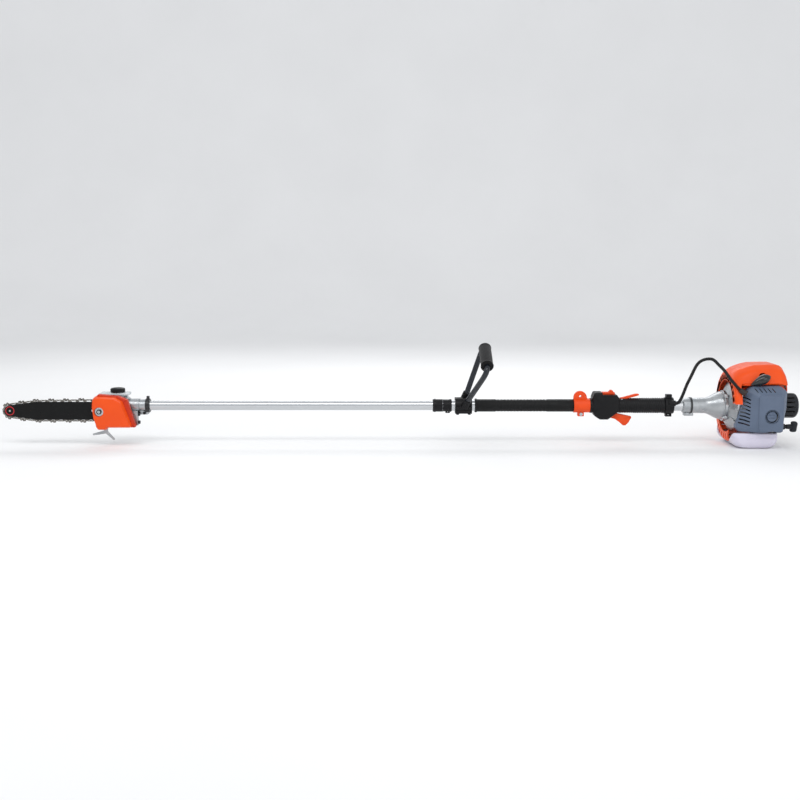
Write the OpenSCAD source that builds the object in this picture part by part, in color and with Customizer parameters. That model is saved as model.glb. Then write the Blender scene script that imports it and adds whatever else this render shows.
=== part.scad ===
// Petrol pole saw with a telescoping pole.
// Frame: X runs along the pole from the saw head (-X) to the engine (+X), +Z is up,
// and the guide bar and the air cleaner are on the -Y side.
// The origin is the centre of the harness eye, above the balance point of the pole.

/* [Pole] */
// Outside diameter of the front (inner) pole
front_pole_d = 26; // [24:0.5:28]
// Wall of the front pole
front_wall = 1.5; // [1:0.25:2]
// Outside diameter of the rear (outer) pole
rear_pole_d = 30; // [29:0.5:33]
// Length of front pole that shows when it is drawn right out
front_reach = 779; // [600:10:950]
// Length of front pole inside the rear pole when it is drawn right out
pole_lap = 141; // [110:5:170]
// How far the front pole slides in
pole_travel = 420; // [300:10:440]

/* [Saw head] */
// Distance from the output shaft to the centre of the bar's nose
bar_reach = 295; // [240:1:360]
// Half height of the guide bar
bar_half = 24.5; // [22:0.5:27]
// Radius of the bar's nose
nose_r = 15; // [13:0.5:18]
// Thickness of the guide bar
bar_t = 4; // [3.6:0.1:5]
// Radius on which the chain straps run round the drive sprocket
chain_r = 18; // [17:0.5:19]
// Teeth on the bevel pinion
pinion_teeth = 14; // [12:1:16]
// Teeth on the bevel gear
gear_teeth = 18; // [16:1:22]
// Depth of the sprocket cover
cover_depth = 32; // [28:1:36]
// Radius of the oil filler cap
oil_cap_r = 20; // [16:0.5:22]

/* [Handles] */
// Length of the rubber sleeve on the rear pole
sleeve_l = 272; // [220:2:340]
// Thickness of the rubber sleeve
sleeve_t = 1.7; // [1:0.1:2.5]
// Height of the loop handle above the pole's axis, along its own plane
loop_h = 164; // [130:1:180]
// Length of the loop handle's grip
loop_grip_l = 96; // [80:1:120]
// Diameter of the loop handle's bent bar
loop_bar_d = 15; // [12:0.5:18]
// Diameter of the loop handle's foam grip
loop_grip_d = 33; // [28:0.5:38]
// Turn of the loop handle about the pole, in degrees
loop_roll = 25; // [0:1:40]
// Lean of the loop handle towards the engine, in degrees
loop_lean = 20; // [10:1:35]
// Radius of the harness eye
eye_r = 3.25; // [2.5:0.25:4]
// Height of the harness eye above the pole's axis
eye_rise = 26; // [24:0.5:32]
// Radius of the rear grip
grip_r = 21; // [19:0.5:24]
// Length of the rear grip behind the control housing
grip_l = 127; // [100:1:160]

/* [Engine] */
// Length of the clutch housing
clutch_l = 116; // [110:1:130]
// Radius of the clutch housing where it meets the engine
clutch_r = 38; // [36:0.5:42]
// Radius of the fan cover
fan_r = 97; // [90:1:105]
// Cylinder bore
bore_d = 40; // [34:0.5:42]
// Crank throw, half the stroke
crank_throw = 14; // [12:0.5:15]
// Width of the fuel tank, along the pole
tank_l = 124; // [110:1:140]
// Diameter of the control cable's conduit
conduit_d = 9; // [7:0.5:11]

/* [Hidden] */
$fn = 48;

// Clearances, as radial or side gaps
run_gap = 0.05;      // a shaft in its bush or bearing
slide_gap = 0.1;     // a piece that slides or turns slowly
free_gap = 0.5;      // pieces that must never touch
e = 0.01;            // how far a cutter passes the face it opens

// Stations along the pole, from the harness eye at 0
hanger_front = 18;
hanger_back = 26;
hanger_x0 = -hanger_front;
sleeve_x0 = hanger_x0 - sleeve_l;
loop_w = 46;
loop_x1 = sleeve_x0 - 8;
loop_x0 = loop_x1 - loop_w;
loop_x = (loop_x0 + loop_x1) / 2;
collar_l = 52;
collar_x1 = loop_x0 - 9;
collar_x0 = collar_x1 - collar_l;
nut_l = 27;
nut_x1 = collar_x0 + nut_l;
rear_pole_x0 = collar_x0 + 14;
head_x = collar_x0 - front_reach;
control_x0 = hanger_back + 1;
control_l = 78;
grip_x0 = control_x0 + control_l;
grip_x1 = grip_x0 + grip_l;
clamp_l = 23;
engine_x = grip_x1 + clamp_l + 26;
fan_x = engine_x + clutch_l;
fan_l = 50;
case_x0 = fan_x + fan_l;
case_l = 60;
cyl_x = case_x0 + case_l / 2;
rear_x = case_x0 + case_l;

// Pole diameters
front_or = front_pole_d / 2;
front_ir = front_or - front_wall;
rear_or = rear_pole_d / 2;
rear_ir = front_or + 0.8;
sleeve_r = rear_or + sleeve_t;
front_x0 = head_x - 30;
front_x1 = rear_pole_x0 + pole_lap;
rear_x1 = engine_x + 42;

// Drive shafts: a hexagonal front shaft slides in a hexagonal socket in the rear shaft
shaft_r = 4;
hex_af = 8;
socket_af = 8.6;
rear_shaft_r = 6.5;
shaft_lap = 160;
rear_shaft_x0 = rear_pole_x0 + 90;
front_shaft_x1 = rear_shaft_x0 + shaft_lap;
rear_shaft_x1 = rear_x1 + 26;
drum_hub_x0 = rear_x1 + 8;

// Saw head
out_x = head_x - 78;
nose_x = out_x - bar_reach;
bar_z = -10;
bar_y = -32;
bar_tail = out_x - chain_r - 6;
tail_round = 8;
stud_x = out_x - 47;
stud_r = 4;
plate_y0 = -26;
plate_y1 = -22;
case_r = 27;
lid_y = 20;
groove_t = 1.6;
groove_deep = 7;
rail_t = 1.3;
rail_deep = 5;
strap_gap = 0.4;
strap_h = 5.5;
tooth_h = 3.5;
strap_w = 5.2;
nose_hub_r = 4.5;
output_r = 7;
pinion_r = 6;
gear_pitch_r = 20;
pinion_pitch_r = gear_pitch_r * pinion_teeth / gear_teeth;
tank_top = 36;
cap_x = out_x - 8;

// Engine
shaft_seat_r = 14;
drum_r = 29;
drum_x0 = fan_x - 22;
crank_r = 6;
web_r = 27;
web_t = 7;
rod_t = 9;
deck_z = 37;
rod_l = 50;
piston_h = 30;
head_top = 100;
tank_x0 = fan_x + 2;
tank_y0 = -87;
tank_y1 = 84;
tank_z0 = -107;
tank_z1 = -64;
tank_wall = 2.5;
dish_r = 70;
cleaner_x0 = fan_x + 9;
cleaner_y0 = -105;
cleaner_y1 = -58;
knob_x = cyl_x + 18;
knob_z = -16;
knob_r = 13.5;
plug_z = 92;
plug_tilt = 97;
recoil_r = 54;
rope_x = rear_x + 27;
rope_y = -56;
rope_z = -50;
rope_r = 1.75;
reel_r = 40;
reel_post_r = 7;
fuel_cap_x = cyl_x + 8;
fuel_cap_y = 58;
fuel_cap_r = 19;

// Route of the control cable's conduit, in the part's frame
conduit_points = [
    [254, -17, -18], [264, -17.5, -17], [271, -19.5, -8], [277.5, -23, 10], [285, -28, 35],
    [294.5, -34, 60], [304, -39.5, 85], [311.5, -43.5, 97], [320.5, -47.5, 104], [331, -52, 107.5],
    [342, -57, 107.5], [349.5, -60.5, 103], [357, -64, 95], [372, -71, 79], [390, -79, 53.5],
    [412, -88, 28], [427, -94, 18]
];

// ---- Helpers -------------------------------------------------------------------------------

// Puts pole-centred geometry into the part's frame, whose origin is the harness eye.
module on_axis() translate([0, 0, -eye_rise]) children();

// A cylinder along X from x0 to x1.
module xcyl(r, x0, x1) translate([x0, 0, 0]) rotate([0, 90, 0]) cylinder(r = r, h = x1 - x0);

// A cone along X, from radius ra at x0 to rb at x1.
module xcone(ra, rb, x0, x1) translate([x0, 0, 0]) rotate([0, 90, 0]) cylinder(r1 = ra, r2 = rb, h = x1 - x0);

// A cylinder along Y from y0 to y1, centred on x and z.
module ycyl(r, y0, y1, x = 0, z = 0)
    translate([x, y0, z]) rotate([-90, 0, 0]) cylinder(r = r, h = y1 - y0);

// A cylinder along Z from z0 to z1, centred on x and y.
module zcyl(r, z0, z1, x = 0, y = 0) translate([x, y, z0]) cylinder(r = r, h = z1 - z0);

// A box between two corners.
module span(a, b) translate(a) cube([b[0] - a[0], b[1] - a[1], b[2] - a[2]]);

// Extrudes an outline drawn in X and Z from y0 to y1.
module side_slab(y0, y1) translate([0, y1, 0]) rotate([90, 0, 0]) linear_extrude(y1 - y0) children();

// Extrudes an outline drawn in Y and Z from x0 to x1.
module end_slab(x0, x1)
    translate([x0, 0, 0]) rotate([90, 0, 90]) linear_extrude(x1 - x0) children();

// A tube along X.
module xtube(ro, ri, x0, x1) difference() {
    xcyl(ro, x0, x1);
    xcyl(ri, x0 - 1, x1 + 1);
}

// A hexagonal bar along X, measured across its flats.
module xhex(af, x0, x1)
    translate([x0, 0, 0]) rotate([0, 90, 0]) cylinder(r = af / sqrt(3), h = x1 - x0, $fn = 6);

// A bearing ring along X with a shield groove on each face.
module xbearing(ro, ri, x0, x1) translate([x0, 0, 0]) rotate([0, 90, 0]) bearing(ro, ri, x1 - x0);

// A bearing ring along Z: outer race, inner race and recessed shields, as one profile.
module bearing(ro, ri, w) rotate_extrude() difference() {
    translate([ri, 0]) square([ro - ri, w]);
    translate([(ro + ri) / 2 - (ro - ri) / 6, -e]) square([(ro - ri) / 3, 0.8]);
    translate([(ro + ri) / 2 - (ro - ri) / 6, w - 0.8 + e]) square([(ro - ri) / 3, 0.8]);
}

// A cap screw along -Y: head at y, shank going to +Y.
module yscrew(x, y, z, r, l) {
    ycyl(r * 1.7, y - r * 1.6, y, x, z);
    ycyl(r, y - e, y + l, x, z);
}

// ---- Saw head ------------------------------------------------------------------------------

// Outline of the guide bar, grown by d.
module bar_outline(d = 0) hull() {
    translate([nose_x, bar_z]) circle(nose_r + d, $fn = 40);
    translate([nose_x + 72, bar_z]) circle(bar_half + d, $fn = 64);
    for (s = [-1, 1])
        translate([bar_tail - tail_round, bar_z + s * (bar_half - tail_round)])
            circle(tail_round + d, $fn = 24);
}

// Outline of the chain's loop: round the bar and the drive sprocket, grown by d.
module chain_outline(d) hull() {
    bar_outline(d);
    translate([out_x, 0]) circle(chain_r + d, $fn = 48);
}

module guide_bar() color("#26282b") on_axis() difference() {
    union() {
        for (s = [-1, 1])
            side_slab(bar_y + s * (bar_t + groove_t) / 4 - (bar_t - groove_t) / 4,
                bar_y + s * (bar_t + groove_t) / 4 + (bar_t - groove_t) / 4) bar_outline();
        difference() {
            side_slab(bar_y - groove_t / 2, bar_y + groove_t / 2) bar_outline(-groove_deep);
            ycyl(nose_r - rail_deep + 0.5, bar_y - groove_t, bar_y + groove_t, nose_x, bar_z);
        }
        ycyl(nose_hub_r, bar_y - bar_t / 2 - 0.4, bar_y + bar_t / 2 + 0.4, nose_x, bar_z);
    }
    // stud slot, and the holes that take the tensioner's pin and the oil
    span([stud_x - 22, bar_y - 5, bar_z - stud_r - 0.3], [stud_x + 14, bar_y + 5, bar_z + stud_r + 0.3]);
    for (x = [stud_x - 22, stud_x + 14]) ycyl(stud_r + 0.3, bar_y - 5, bar_y + 5, x, bar_z);
    for (s = [-1, 1]) ycyl(3, bar_y - 5, bar_y + 5, stud_x + 10, bar_z + s * 14.5);
}

// The chain is one closed band: straps, the drive links' rail in the bar's groove, and cutters.
module saw_chain() color("#5b5a58") on_axis() {
    side_slab(bar_y - strap_w / 2, bar_y + strap_w / 2) difference() {
        chain_outline(strap_h);
        chain_outline(strap_gap);
    }
    side_slab(bar_y - rail_t / 2, bar_y + rail_t / 2) difference() {
        chain_outline(strap_gap + 0.2);
        chain_outline(-rail_deep);
    }
    cutter_step = 38.1;
    first = nose_x + 84;
    for (s = [-1, 1])
        for (x = [first : cutter_step : bar_tail - 20])
            translate([x, bar_y, bar_z + s * (bar_half + strap_h)])
                span([-8, -3, s > 0 ? -1 : -tooth_h], [8, 3, s > 0 ? tooth_h : 1]);
}

module toothed_disc(r, t, teeth, notch) difference() {
    cylinder(r = r, h = t);
    for (i = [0 : teeth - 1]) rotate(i * 360 / teeth) translate([r + notch * 0.45, 0, -1])
        cylinder(r = notch, h = t + 2, $fn = 24);
}

module nose_sprocket() color("silver") on_axis()
    translate([nose_x, bar_y - rail_t / 2, bar_z]) rotate([-90, 0, 0]) difference() {
        toothed_disc(nose_r - rail_deep - free_gap, rail_t, 9, 1.8);
        translate([0, 0, -1]) cylinder(r = nose_hub_r + run_gap, h = rail_t + 2);
    }

module drive_sprocket() color("#8f8f8f") on_axis()
    translate([out_x, bar_y, 0]) rotate([-90, 0, 0]) difference() {
        union() {
            for (z = [-6.5, rail_t / 2 + 0.4])
                translate([0, 0, z]) toothed_disc(chain_r - free_gap, (z < 0 ? 6.1 : 5.1) - rail_t / 2, 7, 3);
            translate([0, 0, -6.5]) cylinder(r = chain_r - rail_deep - free_gap, h = 12);
        }
        translate([0, 0, -10]) cylinder(r = output_r, h = 20);
    }

// One straight bevel tooth as a frustum whose edges all meet at the cone's apex, at the origin.
// The gear's axis is Z, rp is its pitch radius and h the apex's height above the large end.
module bevel_tooth(rp, h, teeth, add, ded, share) {
    pitch_angle = 360 / teeth;
    slant = sqrt(rp * rp + h * h);
    inner = 1 - 9 / slant;
    nr = h / slant;
    nz = rp / slant;
    function ring(k, a, c) = let (r = (rp + a * nr) * k, z = (h - a * nz) * k) [
        for (s = [-1, 1]) [r * cos(s * c), r * sin(s * c), z]
    ];
    root = pitch_angle * (share + 0.05);
    tip = pitch_angle * (share - 0.13);
    points = concat(ring(1, -ded, root), ring(1, add, tip), ring(inner, -ded, root), ring(inner, add, tip));
    polyhedron(points = points, faces = [
        [1, 3, 2, 0], [6, 7, 5, 4], [2, 6, 4, 0], [5, 7, 3, 1], [4, 5, 1, 0], [3, 7, 6, 2]
    ]);
}

// A bevel gear: its apex is at the origin and its large end is at height h.
module bevel(rp, h, teeth, add, ded, share) {
    slant = sqrt(rp * rp + h * h);
    inner = 1 - 9 / slant;
    root_r = rp - ded * h / slant;
    root_z = h + ded * rp / slant;
    translate([0, 0, root_z * inner]) cylinder(r1 = root_r * inner + 0.15, r2 = root_r + 0.15, h = root_z * (1 - inner));
    translate([0, 0, root_z - e]) cylinder(r = root_r + 0.15, h = 2.5);
    for (i = [0 : teeth - 1]) rotate(i * 360 / teeth) bevel_tooth(rp, h, teeth, add, ded + 0.4, share);
}

gear_module = 2 * gear_pitch_r / gear_teeth;

module bevel_gear() color("#77797c") on_axis() {
    translate([out_x, 0, 0]) rotate([-90, 0, 0])
        bevel(gear_pitch_r, pinion_pitch_r, gear_teeth, 0.62 * gear_module, 0.9 * gear_module, 0.17);
    ycyl(output_r, bar_y - 10, lid_y + 6.5, out_x);
}

module bevel_pinion() color("#77797c") on_axis() {
    translate([out_x, 0, 0]) rotate([0, 90, 0]) rotate(90 + 180 / pinion_teeth)
        bevel(pinion_pitch_r, gear_pitch_r, pinion_teeth, 0.62 * gear_module, 0.9 * gear_module, 0.17);
    difference() {
        xcyl(pinion_r, out_x + gear_pitch_r + 2, front_x0 + 6);
        xhex(hex_af, front_x0 - 8, front_x0 + 7);
    }
}

pinion_seat_x = front_x0 - 22;

module gear_bearings() color("silver") on_axis() {
    for (i = [0, 1]) xbearing(shaft_seat_r, pinion_r + run_gap, pinion_seat_x + i * 7, pinion_seat_x + i * 7 + 6.5);
    for (y = [plate_y1 - 1, lid_y + 0.1])
        translate([out_x, y, 0]) rotate([-90, 0, 0]) bearing(15, output_r + run_gap, 7);
}

// Outline of the sprocket cover and of the plate it closes against, grown by d.
module cover_outline(d = 0) offset(r = d) offset(r = 5, $fn = 32) offset(delta = -5)
    polygon([for (p = [
        [-51, 36], [3, 31], [26, 21], [47, -50], [46, -55], [-27, -54], [-32, -61], [-54, -61],
        [-60, -54], [-65, -27], [-69, 2], [-64, 26]
    ]) [out_x + p[0], p[1]]]);

// Outline of the cover's raised outer face.
module cover_face(d = 0) offset(r = d) offset(r = 4, $fn = 32) offset(delta = -4)
    polygon([for (p = [
        [-57, 27], [-6, 24], [11, 14], [34, -51], [-29, -51], [-34, -57], [-52, -57], [-62, -27],
        [-65, 2], [-63, 21]
    ]) [out_x + p[0], p[1]]]);

cover_y0 = plate_y0 - cover_depth;
cover_wall = 2.5;

module cover_block(d) {
    side_slab(plate_y0 - 14 - d / 2, plate_y0) cover_outline(d);
    hull() {
        side_slab(plate_y0 - 14 - d / 2, plate_y0 - 13 - d / 2) cover_outline(d);
        side_slab(cover_y0 - d, plate_y0 - 13 - d / 2) cover_face(d);
    }
}

module sprocket_cover() color("#f0642a") on_axis() difference() {
    union() {
        difference() {
            cover_block(0);
            translate([0, e, 0]) cover_block(-cover_wall);
            // mouth through which the bar and chain leave
            span([out_x - 90, bar_y - 6, bar_z - bar_half - strap_h - tooth_h - 1.5],
                [out_x - 50, plate_y0 + 1, bar_z + bar_half + strap_h + tooth_h + 1.5]);
        }
        ycyl(14.5, cover_y0 + 1, bar_y - bar_t / 2 - 0.2, stud_x, bar_z);
    }
    ycyl(stud_r + 0.3, cover_y0 - 1, plate_y0 + 1, stud_x, bar_z);
    ycyl(12.3, cover_y0 - 1, cover_y0 + 6, stud_x, bar_z);
}

module bar_fasteners() color("silver") on_axis() {
    difference() {
        ycyl(stud_r, cover_y0 + 0.5, plate_y1 + 3, stud_x, bar_z);
        ycyl(1.5, cover_y0 - 1, cover_y0 + 3, stud_x, bar_z);
    }
    difference() {
        ycyl(11.5, cover_y0 + 4.4, cover_y0 + 6, stud_x, bar_z);
        ycyl(stud_r, cover_y0, cover_y0 + 9, stud_x, bar_z);
    }
}

neck_r = front_or + 4;

module gear_case() color("#a9abad") on_axis() difference() {
    union() {
        side_slab(plate_y0, plate_y1) cover_outline(-1.5);
        ycyl(case_r, plate_y1 - e, lid_y, out_x);
        xcyl(shaft_seat_r + 5, out_x + 10, front_x0 + 4);
        xcyl(neck_r, front_x0, head_x);
        // clamp ears under the neck, and the rib and lug beside the cover
        span([head_x - 34, -10, -neck_r - 7], [head_x - 4, 10, -front_or]);
        span([out_x + 16, plate_y1 - 1, -52], [out_x + 50, -10, -12]);
        // pads that the oil tank and the hook are screwed to
        span([out_x - 56, plate_y1 - e, -57], [out_x - 26, plate_y1 + 3, -47]);
    }
    ycyl(case_r - 4, plate_y1 + 6.5, lid_y + 1, out_x);
    xcyl(shaft_seat_r + 2.6, out_x, pinion_seat_x - 1);
    xcyl(shaft_seat_r, pinion_seat_x - 2, front_x0 + 1);
    xcyl(front_or, front_x0, head_x + 1);
    ycyl(15, plate_y1 - 1, plate_y1 + 7, out_x);
    ycyl(output_r + 1, plate_y0 - 1, plate_y1, out_x);
    span([head_x - 36, -1, -neck_r - 8], [head_x + 1, 1, -front_or + 3]);
    for (x = [head_x - 27, head_x - 12]) {
        ycyl(2.5, -12, 12, x, -neck_r - 2.2);
        ycyl(4.6, -20, -10, x, -neck_r - 2.2);
        ycyl(4.6, 10, 20, x, -neck_r - 2.2);
    }
    ycyl(stud_r, plate_y0 - 1, plate_y1 + 4, stud_x, bar_z);
}

module gear_case_lid() color("#a9abad") on_axis() difference() {
    union() {
        ycyl(case_r, lid_y, lid_y + 4, out_x);
        ycyl(17, lid_y + 3.9, lid_y + 9, out_x);
        ycyl(case_r - 4 - slide_gap, lid_y - 3, lid_y + e, out_x);
    }
    ycyl(case_r - 5.6, lid_y - 4, lid_y, out_x);
    ycyl(15, lid_y - 1, lid_y + 7.1, out_x);
    for (a = [45 : 90 : 315]) ycyl(2, lid_y + 1.5, lid_y + 8, out_x + 22 * cos(a), 22 * sin(a));
}

module head_screws() color("#3a3b3d") on_axis() {
    for (x = [head_x - 27, head_x - 12]) yscrew(x, -10, -neck_r - 2.2, 2.5, 24);
    for (a = [45 : 90 : 315])
        translate([out_x + 22 * cos(a), lid_y + 4, 22 * sin(a)]) mirror([0, 1, 0]) yscrew(0, 0, 0, 2, 2.5);
    // bar nut
    difference() {
        translate([stud_x, cover_y0 + 0.8, bar_z]) rotate([-90, 0, 0]) cylinder(r = 7.2, h = 3.6, $fn = 6);
        ycyl(stud_r, cover_y0, cover_y0 + 9, stud_x, bar_z);
    }
    // chain tension screw and its lock screw beside the plate
    for (z = [-44, -22]) translate([out_x + 50, -17, z]) rotate([0, 90, 0]) difference() {
        cylinder(r = 4.6, h = 5);
        translate([-6, -0.7, 3]) cube([12, 1.4, 3]);
    }
}

tank_x = [out_x - 60, out_x - case_r - 1];
strip_x1 = out_x + 24;

module oil_tank_block(d) {
    hull() for (z = [-38 - d, tank_top + d]) for (x = [tank_x[0] - d, tank_x[1] + d])
        translate([x + (x < tank_x[0] + 9 ? 6 : -6), 1, z + (z < 0 ? 6 : -6)]) ycyl(6, -19.6 - d, 23 + d);
    hull() for (x = [tank_x[0] - d, strip_x1 + d])
        for (z = [case_r + 1.5 - d + 3, tank_top + d - 3])
            translate([x + (x < tank_x[0] + 9 ? 3 : -3), 1, z]) ycyl(3, -19.6 - d, 23 + d);
}

module oil_tank() color("#e8eaea") on_axis() difference() {
    union() {
        oil_tank_block(0);
        zcyl(13, tank_top - 4, tank_top + 3, cap_x);
    }
    oil_tank_block(-2);
    zcyl(11, tank_top - 5, tank_top + 4, cap_x);
}

module oil_cap() color("#1b1b1d") on_axis() difference() {
    union() {
        zcyl(oil_cap_r, tank_top + 1, tank_top + 11, cap_x);
        zcyl(oil_cap_r - 3, tank_top + 10.9, tank_top + 14, cap_x);
    }
    zcyl(13 + slide_gap + 0.2, tank_top - 1, tank_top + 6, cap_x);
    for (i = [0 : 15]) rotate_about(cap_x, 0, i * 22.5)
        zcyl(1.6, tank_top + 2, tank_top + 14, cap_x + oil_cap_r + 0.6);
}

// Turns its children about a vertical axis through (x, y).
module rotate_about(x, y, a) translate([x, y, 0]) rotate(a) translate([-x, -y, 0]) children();

hook_x = out_x - 41;

module limb_hook() color("#b9babb") on_axis() {
    side_slab(plate_y1 + 3, plate_y1 + 9) {
        hull() {
            translate([hook_x, -53]) circle(7, $fn = 24);
            translate([hook_x + 1, -70]) circle(5, $fn = 24);
        }
        hull() {
            translate([hook_x, -71]) circle(4.6, $fn = 24);
            translate([hook_x - 33, -78]) circle(2.6, $fn = 16);
        }
        hull() {
            translate([hook_x + 1, -70]) circle(4.6, $fn = 24);
            translate([hook_x + 22, -91]) circle(2.6, $fn = 16);
        }
    }
}

module neck_clamp() color("#1c1c1e") on_axis() difference() {
    union() {
        xtube(neck_r + 2.5, neck_r, head_x - 9, head_x + 0.5);
        xtube(neck_r + 1, front_or + 0.3, head_x, head_x + 2);
        span([head_x - 7, -4, neck_r + 1], [head_x, 4, neck_r + 9]);
    }
    span([head_x - 10, -1, neck_r + 1.5], [head_x + 6, 1, neck_r + 12]);
    span([head_x - 10, -10.2, -neck_r - 8], [head_x - 3.8, 10.2, -front_or - 1]);
}

// ---- Poles and drive -----------------------------------------------------------------------

module front_pole() color("#d4d6d8") on_axis() xtube(front_or, front_ir, front_x0, front_x1);

bush_x = [for (i = [0 : 2]) head_x + 40 + i * (front_reach - pole_travel) / 3];

module front_bushes() color("#2b2b2b") on_axis() {
    for (x = bush_x) xtube(front_ir, shaft_r + run_gap, x, x + 22);
    // rear bush: runs on the hollow rear shaft, with a flange that guides the pole
    xtube(front_ir, rear_shaft_r + run_gap + 0.1, front_x1 - 14, front_x1);
    xtube(rear_ir - slide_gap, rear_shaft_r + run_gap + 0.1, front_x1, front_x1 + 5);
}

round_x1 = bush_x[2] + 30;

module front_shaft() color("#9a9ea3") on_axis() {
    xhex(hex_af, front_x0 - 4, front_x0 + 8);
    xcyl(shaft_r, front_x0 + 7.9, round_x1);
    xhex(hex_af, round_x1 - 0.1, front_shaft_x1);
}

module rear_pole() color("#d4d6d8") on_axis() xtube(rear_or, rear_ir, rear_pole_x0, rear_x1);

// The nylon pieces of the rear pole: the collet and liner that guide the front pole, and the
// bushes of the rear shaft, which stay clear of the front pole's travel.
module rear_bushes() color("#e6e2d8") on_axis() {
    difference() {
        union() {
            xcyl(rear_ir, rear_pole_x0, rear_pole_x0 + 44);
            xcone(rear_or - 1.4, rear_or + 0.2, rear_pole_x0 - 10, rear_pole_x0);
        }
        xcyl(front_or + run_gap, rear_pole_x0 - 11, rear_pole_x0 + 45);
        for (a = [0, 90]) rotate([a, 0, 0]) span([rear_pole_x0 - 11, -20, -0.8], [rear_pole_x0 - 2, 20, 0.8]);
    }
    last = front_x1 + 5 + pole_travel;
    for (x = [last + 8, rear_x1 - 26]) xtube(rear_ir, rear_shaft_r + run_gap, x, x + 20);
}

module rear_shaft() color("#9a9ea3") on_axis() difference() {
    union() {
        xcyl(rear_shaft_r, rear_shaft_x0, drum_hub_x0 - 2);
        xhex(hex_af, drum_hub_x0 - 2.1, rear_shaft_x1);
    }
    xhex(socket_af, rear_shaft_x0 - 1, front_shaft_x1 + pole_travel + 5);
}

collar_r = rear_or + 1.6;

module collar_base() color("#1d1d1f") on_axis() difference() {
    union() {
        xcyl(collar_r, nut_x1 + 0.5, collar_x1);
        xcyl(collar_r + 1.2, collar_x1 - 6, collar_x1 - 2);
        // ribs that carry the clamp screw
        span([nut_x1 + 8, -7, -collar_r - 3.5], [nut_x1 + 20, 7, -rear_or]);
    }
    xcyl(rear_or, nut_x1, collar_x1 + 1);
    span([nut_x1, -0.8, -collar_r - 5], [collar_x1 + 1, 0.8, -rear_or + 2]);
    ycyl(1.6, -9, 9, nut_x1 + 14, -collar_r - 1);
}

module lock_nut() color("#1d1d1f") on_axis() difference() {
    union() {
        xcyl(collar_r + 0.6, collar_x0, nut_x1);
        xcyl(collar_r + 1.6, collar_x0 + 3, collar_x0 + 8);
    }
    xcyl(front_or + 0.6, collar_x0 - 1, nut_x1 + 1);
    xcyl(rear_or + 0.5, rear_pole_x0 - 10.5, nut_x1 + 1);
    for (i = [0 : 11]) rotate([i * 30, 0, 0])
        translate([0, 0, collar_r + 1.4]) xcyl(1.7, collar_x0 + 9, nut_x1 - 3);
}

module pole_sleeve() color("#1f2124") on_axis() difference() {
    union() {
        xcyl(sleeve_r, sleeve_x0, hanger_x0);
        xcyl(sleeve_r + 0.7, sleeve_x0, sleeve_x0 + 58);
        xcyl(sleeve_r + 0.7, hanger_x0 - 74, hanger_x0);
        xcone(sleeve_r + 2.4, sleeve_r + 0.6, sleeve_x0, sleeve_x0 + 12);
    }
    xcyl(rear_or, sleeve_x0 - 1, hanger_x0 + 1);
}

// ---- Loop handle ---------------------------------------------------------------------------

// Stands the handle's own frame (Y across, Z up its legs) on the pole.
module loop_frame() on_axis() translate([loop_x, 0, 0]) rotate([loop_roll, 0, 0]) rotate([0, loop_lean, 0]) children();

loop_foot_y = 15.5;
loop_foot_z = 18;
loop_foot = [0, loop_foot_y, loop_foot_z];
loop_knee = [0, loop_grip_l / 2 + 19, loop_h - 15];
loop_corner = [0, loop_grip_l / 2 + 9, loop_h];

// A round bar between two points.
module rod(a, b, r) {
    v = b - a;
    l = norm(v);
    translate(a) rotate([-atan2(v[1], v[2]), 0, 0]) cylinder(r = r, h = l);
}

// One leg of the loop and the bend at its top, on the +Y side.
module loop_half(r) {
    rod(loop_foot, loop_knee, r);
    translate(loop_knee) sphere(r + 0.25);
    rod(loop_knee, loop_corner, r);
    translate(loop_corner) sphere(r + 0.25);
}

module loop_bar() color("#2a2e33") loop_frame() {
    r = loop_bar_d / 2;
    loop_half(r);
    mirror([0, 1, 0]) loop_half(r);
    translate([0, 0, loop_h]) ycyl(r, -loop_corner[1], loop_corner[1]);
}

module loop_grip() color("#202022") loop_frame() translate([0, 0, loop_h]) difference() {
    union() {
        ycyl(loop_grip_d / 2, -loop_grip_l / 2, loop_grip_l / 2);
        for (s = [-1, 1]) ycyl(loop_grip_d / 2 + 1.5, s * loop_grip_l / 2 - (s > 0 ? 4 : 0), s * loop_grip_l / 2 + (s > 0 ? 0 : 4));
    }
    ycyl(loop_bar_d / 2, -loop_grip_l, loop_grip_l);
}

// Upper and lower halves of the clamp, with its four bolts. The feet of the loop sit in the upper half.
module loop_clamp() color("#202225") on_axis() {
    difference() {
        union() {
            rotate([loop_roll, 0, 0]) {
                span([loop_x0, -25, 0.5], [loop_x1, 25, 11]);
                xcyl(rear_or + 7, loop_x0, loop_x1);
            }
            translate([loop_x, 0, 0]) rotate([loop_roll, 0, 0]) rotate([0, loop_lean, 0])
                for (s = [-1, 1]) translate([0, s * (loop_foot_y + 3.5), 0]) zcyl(loop_bar_d / 2 + 3.5, 6, 31);
        }
        rotate([loop_roll, 0, 0]) span([loop_x0 - 5, -60, -60], [loop_x1 + 5, 60, 0.5]);
        xcyl(rear_or, loop_x0 - 20, loop_x1 + 20);
        translate([loop_x, 0, 0]) rotate([loop_roll, 0, 0]) rotate([0, loop_lean, 0]) for (s = [-1, 1])
            mirror([0, s > 0 ? 0 : 1, 0]) rod(loop_foot, loop_knee, loop_bar_d / 2);
        loop_bolt_row(2.6);
    }
    difference() {
        rotate([loop_roll, 0, 0]) {
            span([loop_x0, -25, -11], [loop_x1, 25, -0.5]);
            xcyl(rear_or + 6, loop_x0, loop_x1);
        }
        rotate([loop_roll, 0, 0]) span([loop_x0 - 5, -60, -0.5], [loop_x1 + 5, 60, 60]);
        xcyl(rear_or, loop_x0 - 20, loop_x1 + 20);
        loop_bolt_row(2.6);
    }
    difference() {
        loop_bolt_row(2.5);
        rotate([loop_roll, 0, 0]) span([loop_x0, -3, -30], [loop_x1, 3, 30]);
    }
}

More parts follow.
